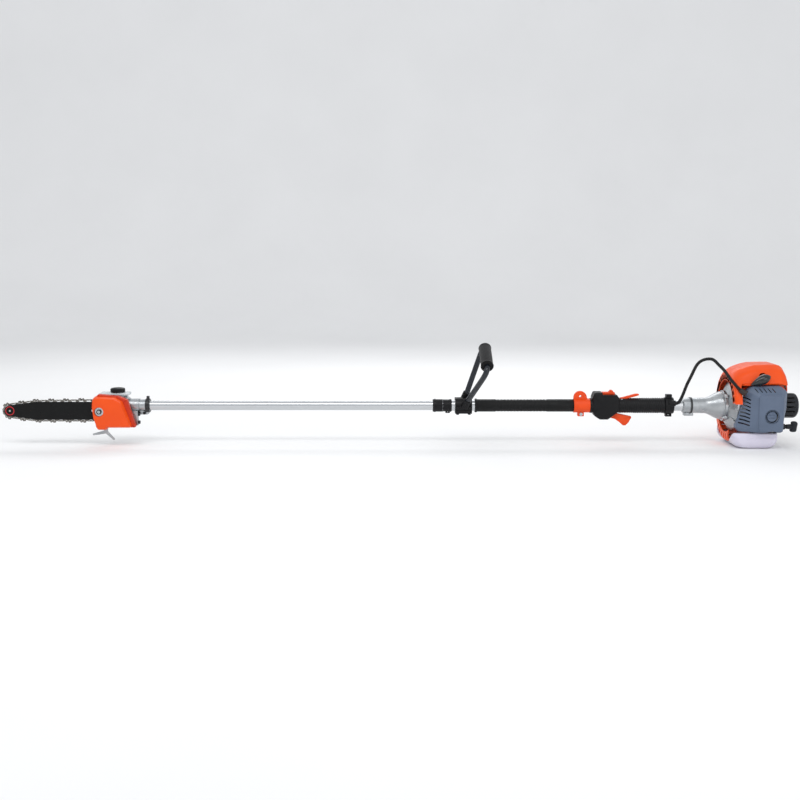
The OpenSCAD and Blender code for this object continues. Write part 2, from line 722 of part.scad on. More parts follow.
module loop_bolt_row(r) rotate([loop_roll, 0, 0]) for (x = [loop_x0 + 7, loop_x1 - 7]) for (y = [-21, 21]) {
    zcyl(r, -11, 11 + e, x, y);
    if (r == 2.5) zcyl(4.3, -14.5, -11, x, y);
}

// ---- Harness eye and controls --------------------------------------------------------------

module hanger() color("#f0642a") on_axis() difference() {
    union() {
        xcyl(rear_or + 4.5, -hanger_front, hanger_back);
        ycyl(18, -5, 5, 0, eye_rise - 4);
        side_slab(-5, 5) polygon([[-18, 0], [-18, eye_rise - 4], [18, eye_rise - 4], [24, 12], [24, 0]]);
        span([-6, -9, -rear_or - 14], [10, 9, -rear_or]);
    }
    xcyl(rear_or, -hanger_front - 1, hanger_back + 1);
    ycyl(eye_r, -10, 10, 0, eye_rise);
    span([-hanger_front - 1, -1, -rear_or - 16], [hanger_back + 1, 1, -rear_or + 3]);
    ycyl(2.6, -12, 12, 2, -rear_or - 8);
}

// Outline of the control housing in X and Z, grown by d.
module control_outline(d = 0) offset(r = d) offset(r = 4, $fn = 24) offset(delta = -4) polygon([for (p = [
    [5, 24], [10, 38], [66, 38], [80, 20], [80, -20], [66, -37], [26, -37], [12, -28], [5, -16]
]) [control_x0 + p[0], p[1]]]);

trigger_x = control_x0 + 61;
trigger_z = -25;
lever_x = grip_x0 + 8;
lever_z = 18.5;
switch_x0 = control_x0 + 31;
switch_l = 36;
switch_travel = 6;

module control_body() difference() {
    union() {
        hull() {
            side_slab(-16, 16) control_outline();
            side_slab(-22, 22) control_outline(-6);
        }
        xcyl(rear_or + 5.5, control_x0 - 1, control_x0 + 14);
        xcyl(grip_r, grip_x0 - 6, grip_x1);
    }
    xcyl(rear_or, control_x0 - 2, grip_x1 + 1);
    // pockets for the switch, the trigger and the lockout lever
    span([switch_x0 - 1, -9.1, 29.9], [switch_x0 + switch_l + switch_travel + 1, 9.5, 45]);
    span([trigger_x - 11, -7.5, -45], [trigger_x + 58, 7.5, -16.2]);
    span([lever_x - 6, -6.5, 15.8], [lever_x + 54, 6.5, 40]);
    for (p = [[trigger_x, trigger_z]]) ycyl(2, -14, 14, p[0], p[1]);
    ycyl(1.5, -12, 12, lever_x, lever_z);
    for (p = control_screw_at) ycyl(2, -30, 30, p[0], p[1]);
}

control_screw_at = [[control_x0 + 17, 27], [control_x0 + 20, -24], [grip_x1 - 14, -18]];

module control_left() color("#1c1d20") on_axis() intersection() {
    control_body();
    span([control_x0 - 10, -60, -80], [grip_x1 + 10, 0, 80]);
}

module control_right() color("#1c1d20") on_axis() intersection() {
    control_body();
    span([control_x0 - 10, 0, -80], [grip_x1 + 10, 60, 80]);
}

// The fasteners on the rear pole: hanger bolt, housing screws, and the trigger's and lever's pins.
module rear_screws() color("silver") on_axis() {
    translate([2, 0, -rear_or - 8]) {
        ycyl(2.5, -9, 13);
        ycyl(4.5, -12, -9);
        translate([0, 9.2, 0]) rotate([-90, 0, 0]) cylinder(r = 4.6, h = 3.6, $fn = 6);
    }
    for (p = control_screw_at) {
        depth = p[0] > grip_x0 ? 9 : 19;
        ycyl(1.9, -depth, depth - 3, p[0], p[1]);
    }
    ycyl(2 - run_gap, -13.9, 13.9, trigger_x, trigger_z);
    ycyl(1.5 - run_gap, -11.9, 11.9, lever_x, lever_z);
}

module throttle_trigger() color("#f0642a") on_axis() difference() {
    union() {
        side_slab(-6.5, 6.5) offset(r = 2, $fn = 20) offset(delta = -2) polygon([for (p = [
            [-7, 2], [-8, -8], [8, -12], [22, -22], [31, -30], [38, -30], [46, -22], [53, -9], [53, -5], [4, 6]
        ]) [trigger_x + p[0], trigger_z + p[1]]]);
        ycyl(6, -6.5, 6.5, trigger_x, trigger_z);
    }
    ycyl(2, -8, 8, trigger_x, trigger_z);
}

module lockout_lever() color("#e2573a") on_axis() difference() {
    union() {
        side_slab(-5.5, 5.5) offset(r = 1.2, $fn = 16) offset(delta = -1.2) polygon([for (p = [
            [-3, -1.8], [-4, 3], [6, 5], [38, 14], [47, 14], [49, 10.5], [40, 7.5], [10, -0.5], [4, -2]
        ]) [lever_x + p[0], lever_z + p[1]]]);
        ycyl(2.6, -5.5, 5.5, lever_x, lever_z);
    }
    ycyl(1.5, -7, 7, lever_x, lever_z);
}

module stop_switch() color("#f0642a") on_axis() {
    span([switch_x0, -9, 30], [switch_x0 + switch_l, 9, 37.5]);
    side_slab(-8, 8) polygon([
        [switch_x0 + 18, 37], [switch_x0 + 24, 43], [switch_x0 + 29, 43], [switch_x0 + 34, 37]
    ]);
}

module grip_clamp() color("#1c1d20") on_axis() difference() {
    union() {
        xcyl(grip_r + 1.5, grip_x1, grip_x1 + clamp_l);
        span([grip_x1 + 3, -7, -30], [grip_x1 + clamp_l - 4, 7, 31]);
        // outlet that holds the cable's conduit
        translate([0, -17, 8]) xcyl(8, grip_x1 + 8, grip_x1 + clamp_l + 3);
    }
    xcyl(rear_or, grip_x1 - 1, grip_x1 + clamp_l + 10);
    span([grip_x1 - 1, -0.8, -32], [grip_x1 + clamp_l + 1, 0.8, -rear_or + 3]);
    ycyl(2.5, -10, 10, grip_x1 + clamp_l / 2, -25.5);
    translate([0, -17, 8]) xcyl(conduit_d / 2 + 0.3, grip_x1 + clamp_l - 3, grip_x1 + clamp_l + 6);
}

// A tube swept along points: rings of n sides, each square to the route.
module sweep(points, r, n) {
    last = len(points) - 1;
    dirs = [for (i = [0 : last]) let (d = points[min(i + 1, last)] - points[max(i - 1, 0)]) d / norm(d)];
    rings = [for (i = [0 : last]) let (
        side = cross(dirs[i], [0, 1, 0.01]), u = side / norm(side), v = cross(dirs[i], u)
    ) [for (k = [0 : n - 1]) points[i] + r * (u * cos(k * 360 / n) + v * sin(k * 360 / n))]];
    sides = [for (i = [0 : last - 1]) for (k = [0 : n - 1])
        [i * n + k, i * n + (k + 1) % n, (i + 1) * n + (k + 1) % n, (i + 1) * n + k]];
    caps = [[for (k = [n - 1 : -1 : 0]) k], [for (k = [0 : n - 1]) last * n + k]];
    polyhedron(points = [for (ring = rings) each ring], faces = concat(sides, caps));
}

module cable_conduit() color("#1b1b1c") sweep(conduit_points, conduit_d / 2, 12);

// ---- Engine --------------------------------------------------------------------------------

module clutch_housing() color("#b9bbbe") on_axis() difference() {
    union() {
        xcyl(rear_or + 6, engine_x, engine_x + 60);
        xcone(rear_or + 6, clutch_r, engine_x + 56, fan_x - 8);
        xcyl(clutch_r + 4, fan_x - 8, fan_x);
        xcyl(rear_or + 7.5, engine_x + 18, engine_x + 26);
        span([engine_x + 4, -8, -rear_or - 13], [engine_x + 30, 8, -rear_or]);
        for (a = [45 : 90 : 315]) rotate([a, 0, 0]) translate([0, 0, clutch_r + 3]) xcyl(6, fan_x - 8, fan_x);
    }
    xcyl(rear_or, engine_x - 1, rear_x1);
    xcyl(shaft_seat_r, rear_x1 - 1, drum_x0 - 3);
    xcone(shaft_seat_r + 2, clutch_r - 4, drum_x0 - 16, fan_x - 5);
    xcyl(drum_r + 1.2, drum_x0 - 2, fan_x + 1);
    span([engine_x - 1, -1, -rear_or - 15], [engine_x + 34, 1, -rear_or + 4]);
    for (x = [engine_x + 11, engine_x + 23]) ycyl(2.5, -12, 12, x, -rear_or - 7.5);
    for (a = [45 : 90 : 315]) rotate([a, 0, 0]) translate([0, 0, clutch_r + 3]) xcyl(2.7, fan_x - 12, fan_x + 1);
}

module clutch_drum() color("#6f7276") on_axis() difference() {
    union() {
        xcyl(drum_r, drum_x0, drum_x0 + 20);
        xcyl(crank_r, drum_hub_x0, drum_x0 + 1);
    }
    xcyl(drum_r - 3, drum_x0 + 3, drum_x0 + 21);
    xhex(hex_af, drum_hub_x0 - 1, rear_shaft_x1 + 0.5);
}

main_seat_r = 16;

module engine_bearings() color("silver") on_axis() {
    for (x = [drum_hub_x0 + 8, drum_hub_x0 + 19]) xbearing(shaft_seat_r, crank_r + run_gap, x, x + 9);
    for (x = [case_x0 + 2, rear_x - 11]) xbearing(main_seat_r, crank_r + run_gap, x, x + 9);
}

module clutch_shoes() color("#55585c") on_axis() {
    for (s = [0, 1]) rotate([s * 180, 0, 0]) difference() {
        xcyl(drum_r - 3 - 0.7, drum_x0 + 6, drum_x0 + 17);
        xcyl(12, drum_x0 + 5, drum_x0 + 18);
        span([drum_x0 + 5, -40, -40], [drum_x0 + 18, 40, 3.5]);
    }
    // the arms that carry both shoes, on the crank
    difference() {
        union() {
            xcyl(11, drum_x0 + 8, drum_x0 + 15);
            span([drum_x0 + 8, -3, -13.5], [drum_x0 + 15, 3, 13.5]);
        }
        xcyl(crank_r, drum_x0, fan_x);
    }
}

flywheel_r = 62;
blades = 16;

module flywheel() color("#8b8e92") on_axis() difference() {
    union() {
        xcyl(flywheel_r, fan_x + 26, fan_x + 32);
        xcyl(flywheel_r - 6, fan_x + 30, fan_x + 40);
        xcyl(14, fan_x + 12, fan_x + 42);
        for (i = [0 : blades - 1]) rotate([i * 360 / blades, 0, 0])
            span([fan_x + 17, -1.2, 30], [fan_x + 27, 1.2, flywheel_r - 1]);
    }
    xcyl(crank_r, fan_x, case_x0);
}

module crankshaft() color("#8f9296") on_axis() {
    xcyl(crank_r, drum_x0 + 7, cyl_x - rod_t / 2 - web_t + e);
    xcyl(crank_r, cyl_x + rod_t / 2 + web_t - e, rear_x + 12);
    for (s = [-1, 1]) difference() {
        translate([cyl_x + s * (rod_t / 2 + web_t / 2), 0, 0]) xcyl(web_r, -web_t / 2, web_t / 2);
        for (t = [-1, 1]) translate([cyl_x, t * 19, 11]) xcyl(6.5, -20, 20);
    }
    translate([cyl_x, 0, crank_throw]) xcyl(5, -rod_t / 2 - 1, rod_t / 2 + 1);
}

// Crankcase with the fan case cast on its front. The flywheel turns in the fan case.
module crankcase() color("#a6a8aa") on_axis() difference() {
    union() {
        xcyl(web_r + 9, case_x0, rear_x);
        span([case_x0 + 4, -34, 0], [rear_x - 4, 34, deck_z]);
        span([case_x0 + 6, -24, tank_z1], [rear_x - 6, 24, -20]);
        xcone(clutch_r + 4, dish_r, fan_x, fan_x + 16);
        xcyl(dish_r, fan_x + 16, case_x0 + 4);
        // ribs on the face of the fan case
        for (a = [60 : 30 : 120]) rotate([a, 0, 0]) side_slab(-1.5, 1.5) polygon([
            [fan_x + 1, clutch_r + 2], [fan_x + 5, clutch_r + 2], [fan_x + 14, dish_r - 3], [fan_x + 10, dish_r - 3]
        ]);
    }
    xcone(clutch_r, dish_r - 3, fan_x - e, fan_x + 15);
    xcyl(dish_r - 3, fan_x + 14.9, case_x0 + e);
    xcyl(main_seat_r, case_x0 - 1, rear_x + 1);
    xcyl(web_r + 1.5, case_x0 + 13, rear_x - 13);
    zcyl(bore_d / 2 + 2.6, 10, deck_z + 1, cyl_x);
    // the cooling air leaves the fan case over the deck, towards the fins
    span([case_x0 - 0.5, -fin_y - 2, deck_z], [case_x0 + 5, fin_y + 2, dish_r + 1]);
}

fin_y = 41;

module cylinder_block() color("#9c9fa2") on_axis() difference() {
    union() {
        zcyl(bore_d / 2 + 6, deck_z, head_top, cyl_x);
        zcyl(bore_d / 2 + 2.5, deck_z - 12, deck_z + 1, cyl_x);
        span([cyl_x - 30, -30, deck_z], [cyl_x + 30, 30, deck_z + 5]);
        for (i = [0 : 6]) span([cyl_x - 29.5, -fin_y, deck_z + 11 + i * 8], [cyl_x + 29.5, fin_y, deck_z + 13 + i * 8]);
        // inlet and exhaust bosses
        span([cyl_x - 15, -fin_y - 2, deck_z + 5], [cyl_x + 15, -20, deck_z + 28]);
        span([cyl_x - 15, 20, deck_z + 5], [cyl_x + 15, fin_y + 2, deck_z + 28]);
    }
    zcyl(bore_d / 2, deck_z - 13, head_top - 15, cyl_x);
    ycyl(8, -60, 0, cyl_x, deck_z + 16);
    ycyl(8, 0, 60, cyl_x, deck_z + 16);
    // seat of the spark plug, and the room round it
    translate([cyl_x, 0, plug_z]) rotate([plug_tilt, 0, 0]) translate([0, 0, 12]) cylinder(r = 5, h = 30);
    span([cyl_x - 14, -60, 73], [cyl_x + 14, -24, head_top + 1]);
}

pin_z = crank_throw + rod_l;

module piston() color("#b8babd") on_axis() difference() {
    zcyl(bore_d / 2 - 0.06, pin_z - 12, pin_z + piston_h - 12, cyl_x);
    zcyl(bore_d / 2 - 3, pin_z - 13, pin_z + 9, cyl_x);
    for (z = [pin_z + 11, pin_z + 14.5]) difference() {
        zcyl(bore_d / 2 + 1, z, z + 1.2, cyl_x);
        zcyl(bore_d / 2 - 1.6, z - 1, z + 2, cyl_x);
    }
}

// The rod with the gudgeon pin. Its lower end is a saddle just outside the crank pin's circle.
module connecting_rod() color("#8f9296") on_axis() difference() {
    union() {
        translate([cyl_x, 0, pin_z]) xcyl(7, -rod_t / 2 + 0.3, rod_t / 2 - 0.3);
        translate([cyl_x, 0, pin_z]) xcyl(4.5, -bore_d / 2 + 3.5, bore_d / 2 - 3.5);
        span([cyl_x - 3.5, -5, crank_throw + 3], [cyl_x + 3.5, 5, pin_z - 4]);
        span([cyl_x - 4, -9, crank_throw + 1], [cyl_x + 4, 9, crank_throw + 11]);
    }
    xcyl(crank_throw + 5 + 0.3, cyl_x - 10, cyl_x + 10);
}

module muffler() color("#4c4d50") on_axis() difference() {
    union() {
        hull() {
            span([cyl_x - 25, fin_y + 4, 14], [cyl_x + 29, fin_y + 36, 84]);
            span([cyl_x - 19, fin_y + 4, 20], [cyl_x + 23, fin_y + 42, 78]);
        }
        span([cyl_x - 15, fin_y + 2, deck_z + 5], [cyl_x + 15, fin_y + 5, deck_z + 28]);
        translate([cyl_x + 20, fin_y + 26, 24]) rotate([0, 90, 0]) cylinder(r = 6, h = 18);
    }
    hull() {
        span([cyl_x - 23, fin_y + 6, 16], [cyl_x + 27, fin_y + 34, 82]);
        span([cyl_x - 17, fin_y + 6, 22], [cyl_x + 21, fin_y + 40, 76]);
    }
    ycyl(8, fin_y, fin_y + 7, cyl_x, deck_z + 16);
    translate([cyl_x + 10, fin_y + 26, 24]) rotate([0, 90, 0]) cylinder(r = 4.5, h = 30);
}

module carburettor() color("#8d8f92") on_axis() difference() {
    union() {
        span([cyl_x - 17, -fin_y - 6, deck_z - 1], [cyl_x + 17, -fin_y - 2, deck_z + 25]);
        span([cyl_x - 18, -fin_y - 30, deck_z - 9], [cyl_x + 18, -fin_y - 6 + e, deck_z + 19]);
        // plate and stud of the air cleaner
        side_slab(-62, -59.5) polygon([
            [case_x0 + 12, 50], [rear_x + 4, 50], [rear_x + 18, 0], [rear_x + 8, -38], [case_x0 + 12, -42]
        ]);
        ycyl(12, -74, -fin_y - 29, cyl_x - 4, deck_z + 4);
        ycyl(5, -90, -60, knob_x, knob_z);
    }
    ycyl(7, -100, -fin_y, cyl_x - 4, deck_z + 4);
    ycyl(3.2, -100, -66, knob_x, knob_z);
}

// Outline of the air cleaner cover in X and Z, grown by d.
module cleaner_outline(d = 0) offset(r = d) offset(r = 6, $fn = 24) offset(delta = -6) polygon([for (p = [
    [43, 63], [118, 63], [136, 48], [135, 0], [127, -38], [122, -63.4], [56, -63.4], [9, -59],
    [0, -48], [16, 17], [29, 52]
]) [cleaner_x0 + p[0], p[1]]]);

// The arched notch along the cover's lower edge, grown by d.
module cleaner_arch(d) side_slab(-130, -40) offset(r = d) polygon([for (p = [
    [66, -70], [69, -62], [78, -57], [92, -54.5], [104, -56], [110, -63], [111, -70]
]) [cleaner_x0 + p[0], p[1]]]);

module cleaner_block(d) difference() {
    hull() {
        side_slab(cleaner_y1 - 18, cleaner_y1) cleaner_outline(d);
        side_slab(cleaner_y0 - d, cleaner_y1) offset(r = 4 + d, $fn = 24) polygon([for (p = [
            [57, 36], [116, 36], [118, -55], [60, -57]
        ]) [cleaner_x0 + p[0], p[1]]]);
    }
    cleaner_arch(-d);
}

module air_cleaner_cover() color("#7d8794") on_axis() difference() {
    union() {
        difference() {
            cleaner_block(0);
            translate([0, e, 0]) cleaner_block(-2.5);
        }
        ycyl(knob_r + 6, cleaner_y0 + 1, cleaner_y0 + 12, knob_x, knob_z);
    }
    ycyl(knob_r + 4, cleaner_y0 - 1, cleaner_y0 + 9, knob_x, knob_z);
    ycyl(3.4, cleaner_y0, cleaner_y0 + 15, knob_x, knob_z);
    // the back edge follows the fan case
    xcyl(dish_r + 1.5, fan_x - 5, case_x0 + 6);
    // louvres on the side that faces the saw head, and along the top
    for (i = [0 : 7]) translate([cleaner_x0 + 20 - i * 2.1, cleaner_y0 - 3, 30 - i * 9.6]) rotate([0, 22, 0])
        cube([19 + i * 2.1, 34, 4]);
    for (i = [0 : 5]) translate([cleaner_x0 + 50 + i * 10.5, cleaner_y0 - 1, 44]) rotate([0, 20, 0]) cube([3, 26, 13]);
}

module cover_knob() color("#6f7884") on_axis() difference() {
    union() {
        ycyl(knob_r, cleaner_y0 + 2.5, cleaner_y0 + 8.5, knob_x, knob_z);
        span([knob_x - knob_r + 1.5, cleaner_y0, knob_z - 2.2], [knob_x + knob_r - 1.5, cleaner_y0 + 2.6, knob_z + 2.2]);
        ycyl(3.2 - slide_gap, cleaner_y0 + 8, cleaner_y0 + 32, knob_x, knob_z);
    }
    for (s = [-1, 1]) span([knob_x - 7, cleaner_y0 + 2, knob_z + s * 6.5 - 2], [knob_x + 7, cleaner_y0 + 4, knob_z + s * 6.5 + 2]);
}

// Side and end outlines of the engine cover, grown by d.
module engine_side(d = 0) offset(delta = d) offset(r = 10, $fn = 32) offset(delta = -10) polygon([
    [fan_x + 2, 20], [fan_x + 2, 92], [fan_x + 12, 100], [cyl_x - 14, 117], [cyl_x + 51, 117],
    [cyl_x + 64, 100], [cyl_x + 73, 56], [cyl_x + 74, 20]
]);

module engine_end(d = 0) offset(delta = d) offset(r = 6, $fn = 32) offset(delta = -6) polygon([
    [-52, 20], [-52, 64.5], [-74, 65.5], [-56, 103], [-38, 117], [38, 117], [54, 108], [92, 94],
    [98, 70], [98, 20]
]);

module engine_block(d) intersection() {
    side_slab(-150, 150) engine_side(d);
    end_slab(fan_x - 20, rear_x + 60) engine_end(d);
}

// Engine cover and fan cover in one moulding: a hood over the cylinder and a ring round the fan.
module engine_cover() color("#f0642a") on_axis() difference() {
    union() {
        engine_block(0);
        xcyl(fan_r, fan_x + 2, case_x0 + 2);
    }
    engine_block(-2.5);
    span([case_x0 + 2, -100, 10], [rear_x + 80, 110, 40 + e]);
    xcyl(fan_r - 2.5, fan_x + 4.5, case_x0 + 3);
    xcyl(dish_r + 1, fan_x, case_x0 + 4.5);
    // the near side is open where the air cleaner stands
    span([fan_x - 1, -112, -112], [case_x0 + 4, -38, 16]);
    span([fan_x + 21, -112, -112], [rear_x + 80, -49.4, 64.3]);
    // opening for the spark plug's cap
    ycyl(13, -110, -40, cyl_x, 84);
    // vents in the ring
    for (a = [50 : 13 : 310]) rotate([a - 90, 0, 0]) span([fan_x, -3, 77], [fan_x + 6, 3, 91]);
}

module spark_plug() color("#e8e8e4") on_axis() translate([cyl_x, 0, plug_z]) rotate([plug_tilt, 0, 0]) {
    translate([0, 0, 13]) cylinder(r = 4.9, h = 14);
    translate([0, 0, 26.5]) cylinder(r = 9.5, h = 5, $fn = 6);
    translate([0, 0, 31.4]) cylinder(r = 5, h = 14);
}

module plug_cap() color("#151517") on_axis() difference() {
    union() {
        hull() {
            translate([cyl_x - 24, -79, 72]) sphere(7, $fn = 28);
            translate([cyl_x + 3, -80, 84]) sphere(13.5, $fn = 36);
        }
        translate([cyl_x, 0, plug_z]) rotate([plug_tilt, 0, 0]) translate([0, 0, 34]) cylinder(r = 9, h = 44);
    }
    translate([cyl_x, 0, plug_z]) rotate([plug_tilt, 0, 0]) translate([0, 0, 30]) cylinder(r = 5.05, h = 18);
}

module tank_block(d) hull() {
    for (x = [tank_x0 - d + 16, tank_x0 + tank_l + d - 16]) for (y = [tank_y0 - d + 16, tank_y1 + d - 16])
        zcyl(16, tank_z0 - d + 20, tank_z1 + d, x, y);
    for (x = [tank_x0 - d + 34, tank_x0 + tank_l + d - 22]) for (y = [tank_y0 - d + 22, tank_y1 + d - 22])
        zcyl(12, tank_z0 - d, tank_z1, x, y);
}

module fuel_tank() color("#eeeef0") on_axis() difference() {
    union() {
        difference() {
            tank_block(0);
            xcyl(fan_r + 1.5, tank_x0 - 5, case_x0 + 6);
        }
        zcyl(14, tank_z1 - 3, tank_z1 + 5, fuel_cap_x, fuel_cap_y);
    }
    difference() {
        tank_block(-tank_wall);
        xcyl(fan_r + 1.5 + tank_wall, tank_x0 - 5, case_x0 + 6 + tank_wall);
    }
    zcyl(12, tank_z1 - 6, tank_z1 + 6, fuel_cap_x, fuel_cap_y);
}

module fuel_cap() color("#1b1b1d") on_axis() difference() {
    zcyl(fuel_cap_r, tank_z1 + 0.5, tank_z1 + 15, fuel_cap_x, fuel_cap_y);
    zcyl(14 + slide_gap + 0.2, tank_z1, tank_z1 + 7, fuel_cap_x, fuel_cap_y);
    for (i = [0 : 15]) rotate_about(fuel_cap_x, fuel_cap_y, i * 22.5)
        zcyl(1.8, tank_z1 + 3, tank_z1 + 16, fuel_cap_x + fuel_cap_r + 0.8, fuel_cap_y);
}

module recoil_housing() color("#33363b") on_axis() difference() {
    union() {
        xcyl(recoil_r, rear_x + 0.5, rear_x + 22);
        xcone(recoil_r, 44, rear_x + 22, rear_x + 30);
        xcyl(34, rear_x + 28, rear_x + 80);
        xcone(34, 26, rear_x + 80, rear_x + 86);
        // outlet for the starter rope
        translate([0, rope_y, rope_z]) xcyl(8, rope_x, rope_x + 14);
        span([rear_x + 8, rope_y, rope_z - 8], [rope_x + 10, -24, rope_z + 8]);
    }
    xcyl(recoil_r - 4, rear_x - 1, rear_x + 20);
    xcone(recoil_r - 4, 42, rear_x + 19.9, rear_x + 27);
    difference() {
        xcyl(30.5, rear_x + 20, rear_x + 79);
        xcyl(reel_post_r - run_gap, rear_x + 14, rear_x + 82);
    }
    for (a = [0 : 30 : 330]) rotate([a, 0, 0]) span([rear_x + 38, 26, -2.2], [rear_x + 72, 40, 2.2]);
    for (a = [15 : 30 : 345]) rotate([a, 0, 0]) span([rear_x + 20, 38, -3], [rear_x + 32, 41.5, 3]);
    translate([0, rope_y, rope_z]) xcyl(rope_r + 0.5, rope_x - 6, rope_x + 15);
}

module starter_reel() color("#d8d4c8") on_axis() difference() {
    union() {
        xcyl(reel_r, rear_x + 14, rear_x + 15.5);
        xcyl(reel_r - 6, rear_x + 15, rear_x + 19);
        xcyl(reel_r, rear_x + 18, rear_x + 19.5);
        xcyl(11, rear_x + 14, rear_x + 25);
    }
    xcyl(reel_post_r, rear_x + 13, rear_x + 27);
    for (a = [0 : 60 : 300]) rotate([a, 0, 0]) translate([0, 22, 0]) xcyl(6, rear_x + 12, rear_x + 24);
}

// T-shaped grip on the rope's end: its stem goes along the pull, its bar across.
module starter_grip() color("#2d3036") on_axis() translate([rope_x + 15, rope_y, rope_z]) rotate([20, 0, 0]) {
    difference() {
        union() {
            xcone(6, 8, 0, 12);
            hull() {
                translate([24, 0, -12]) zcyl(8, 0, 24);
                translate([13, 0, -15]) zcyl(5, 0, 30);
            }
        }
        xcyl(rope_r, -1, 12);
    }
}

module starter_rope() color("#d9d9d4") on_axis() translate([0, rope_y, rope_z])
    xcyl(rope_r, rope_x - 5, rope_x + 26);

guide_bar();
saw_chain();
nose_sprocket();
drive_sprocket();
bevel_gear();
bevel_pinion();
gear_bearings();
sprocket_cover();
bar_fasteners();
gear_case();
gear_case_lid();
head_screws();
oil_tank();
oil_cap();
limb_hook();
neck_clamp();
front_pole();
front_bushes();
front_shaft();
rear_pole();
rear_bushes();
rear_shaft();
collar_base();
lock_nut();
pole_sleeve();
loop_clamp();
loop_bar();
loop_grip();
hanger();
control_left();
control_right();
rear_screws();
throttle_trigger();
lockout_lever();
stop_switch();
grip_clamp();
cable_conduit();
clutch_housing();
clutch_drum();
engine_bearings();
clutch_shoes();
flywheel();
crankshaft();
crankcase();
cylinder_block();
piston();
connecting_rod();
muffler();
carburettor();
air_cleaner_cover();
cover_knob();
engine_cover();
spark_plug();
plug_cap();
fuel_tank();
fuel_cap();
recoil_housing();
starter_reel();
starter_grip();
starter_rope();
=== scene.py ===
"""Looks of a petrol pole saw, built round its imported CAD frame.

Shapes are worked out with numpy in millimetres measured from the pole's axis, as the CAD
source does, and Surface.piece() brings them into the row frame, in metres.
"""
import logging
import math
from dataclasses import dataclass, field
from enum import Enum
import bpy
import numpy as np
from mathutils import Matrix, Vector


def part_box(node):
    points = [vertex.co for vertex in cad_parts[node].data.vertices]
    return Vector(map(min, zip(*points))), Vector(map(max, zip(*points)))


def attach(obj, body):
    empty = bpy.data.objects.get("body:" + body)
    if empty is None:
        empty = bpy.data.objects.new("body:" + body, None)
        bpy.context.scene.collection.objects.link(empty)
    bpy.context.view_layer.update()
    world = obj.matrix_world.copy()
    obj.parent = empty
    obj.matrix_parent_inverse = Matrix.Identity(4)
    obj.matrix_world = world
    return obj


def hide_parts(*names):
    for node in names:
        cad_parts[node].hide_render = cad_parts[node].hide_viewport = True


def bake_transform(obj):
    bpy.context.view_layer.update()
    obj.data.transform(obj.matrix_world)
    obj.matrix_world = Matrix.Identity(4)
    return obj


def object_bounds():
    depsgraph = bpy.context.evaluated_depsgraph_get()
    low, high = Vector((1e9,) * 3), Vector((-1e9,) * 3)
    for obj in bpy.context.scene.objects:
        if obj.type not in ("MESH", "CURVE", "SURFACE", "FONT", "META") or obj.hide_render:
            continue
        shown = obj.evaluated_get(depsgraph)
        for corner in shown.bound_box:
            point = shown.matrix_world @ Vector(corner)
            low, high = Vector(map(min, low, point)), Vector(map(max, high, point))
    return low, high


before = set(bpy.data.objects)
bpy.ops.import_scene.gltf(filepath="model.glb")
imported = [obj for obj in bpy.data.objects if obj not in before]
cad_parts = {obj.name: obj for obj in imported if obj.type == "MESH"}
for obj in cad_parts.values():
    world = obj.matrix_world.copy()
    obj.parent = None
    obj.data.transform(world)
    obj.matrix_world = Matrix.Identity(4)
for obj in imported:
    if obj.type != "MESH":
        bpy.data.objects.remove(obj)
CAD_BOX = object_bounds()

log = logging.getLogger("pole_saw")
Array = np.ndarray
Tree = bpy.types.NodeTree
Socket = bpy.types.NodeSocket
Triple = tuple[float, float, float]

MM = 0.001
AXIS_Z = -26.0  # height of the pole's axis in the row frame, mm
TURN = 2 * math.pi
POLE_R = 15.06  # the bore of what grips the outer pole, mm
ROPE_EXIT: Triple = (534.0, -56.0, -50.0)  # where the starter rope leaves its cover, mm


class Body(Enum):
    """The moving bodies that visual pieces ride on."""

    REAR = "rear"
    FRONT = "front"
    TRIGGER = "trigger"
    LOCKOUT = "lockout"
    SWITCH = "stop_switch"
    OIL_CAP = "oil_cap"
    FUEL_CAP = "fuel_cap"
    KNOB = "cover_knob"
    STARTER = "starter_grip"


class Way(Enum):
    """What one closed shape does to another."""

    CUT = "DIFFERENCE"
    JOIN = "UNION"


# ---- Finishes --------------------------------------------------------------------------------


def linear(code: str) -> tuple[float, float, float, float]:
    """Turns an sRGB hex colour into linear RGBA.

    Args:
        code: The colour as #rrggbb.

    Returns:
        Red, green and blue in linear light, with alpha 1.
    """
    parts = [int(code[i : i + 2], 16) / 255 for i in (1, 3, 5)]
    r, g, b = (c / 12.92 if c <= 0.04045 else ((c + 0.055) / 1.055) ** 2.4 for c in parts)
    return (r, g, b, 1.0)


def add(
    tree: Tree, kind: str, inputs: dict[str | int, object] | None = None, **settings: object
) -> bpy.types.Node:
    """Adds a shader node with its settings, and fills its inputs with links or values.

    Args:
        tree: The material's node tree.
        kind: The node's type name, without its ShaderNode prefix.
        inputs: Socket name or number, with the value or the output that feeds it.
        settings: Properties of the node itself.

    Returns:
        The new node.
    """
    node = tree.nodes.new("ShaderNode" + kind)
    for key, value in settings.items():
        setattr(node, key, value)
    for key, value in (inputs or {}).items():
        if isinstance(value, Socket):
            tree.links.new(value, node.inputs[key])
        else:
            node.inputs[key].default_value = value
    return node


def per_mm(size: float) -> float:
    """The scale of a noise whose grains are this many millimetres across."""
    return 1 / (size * MM)


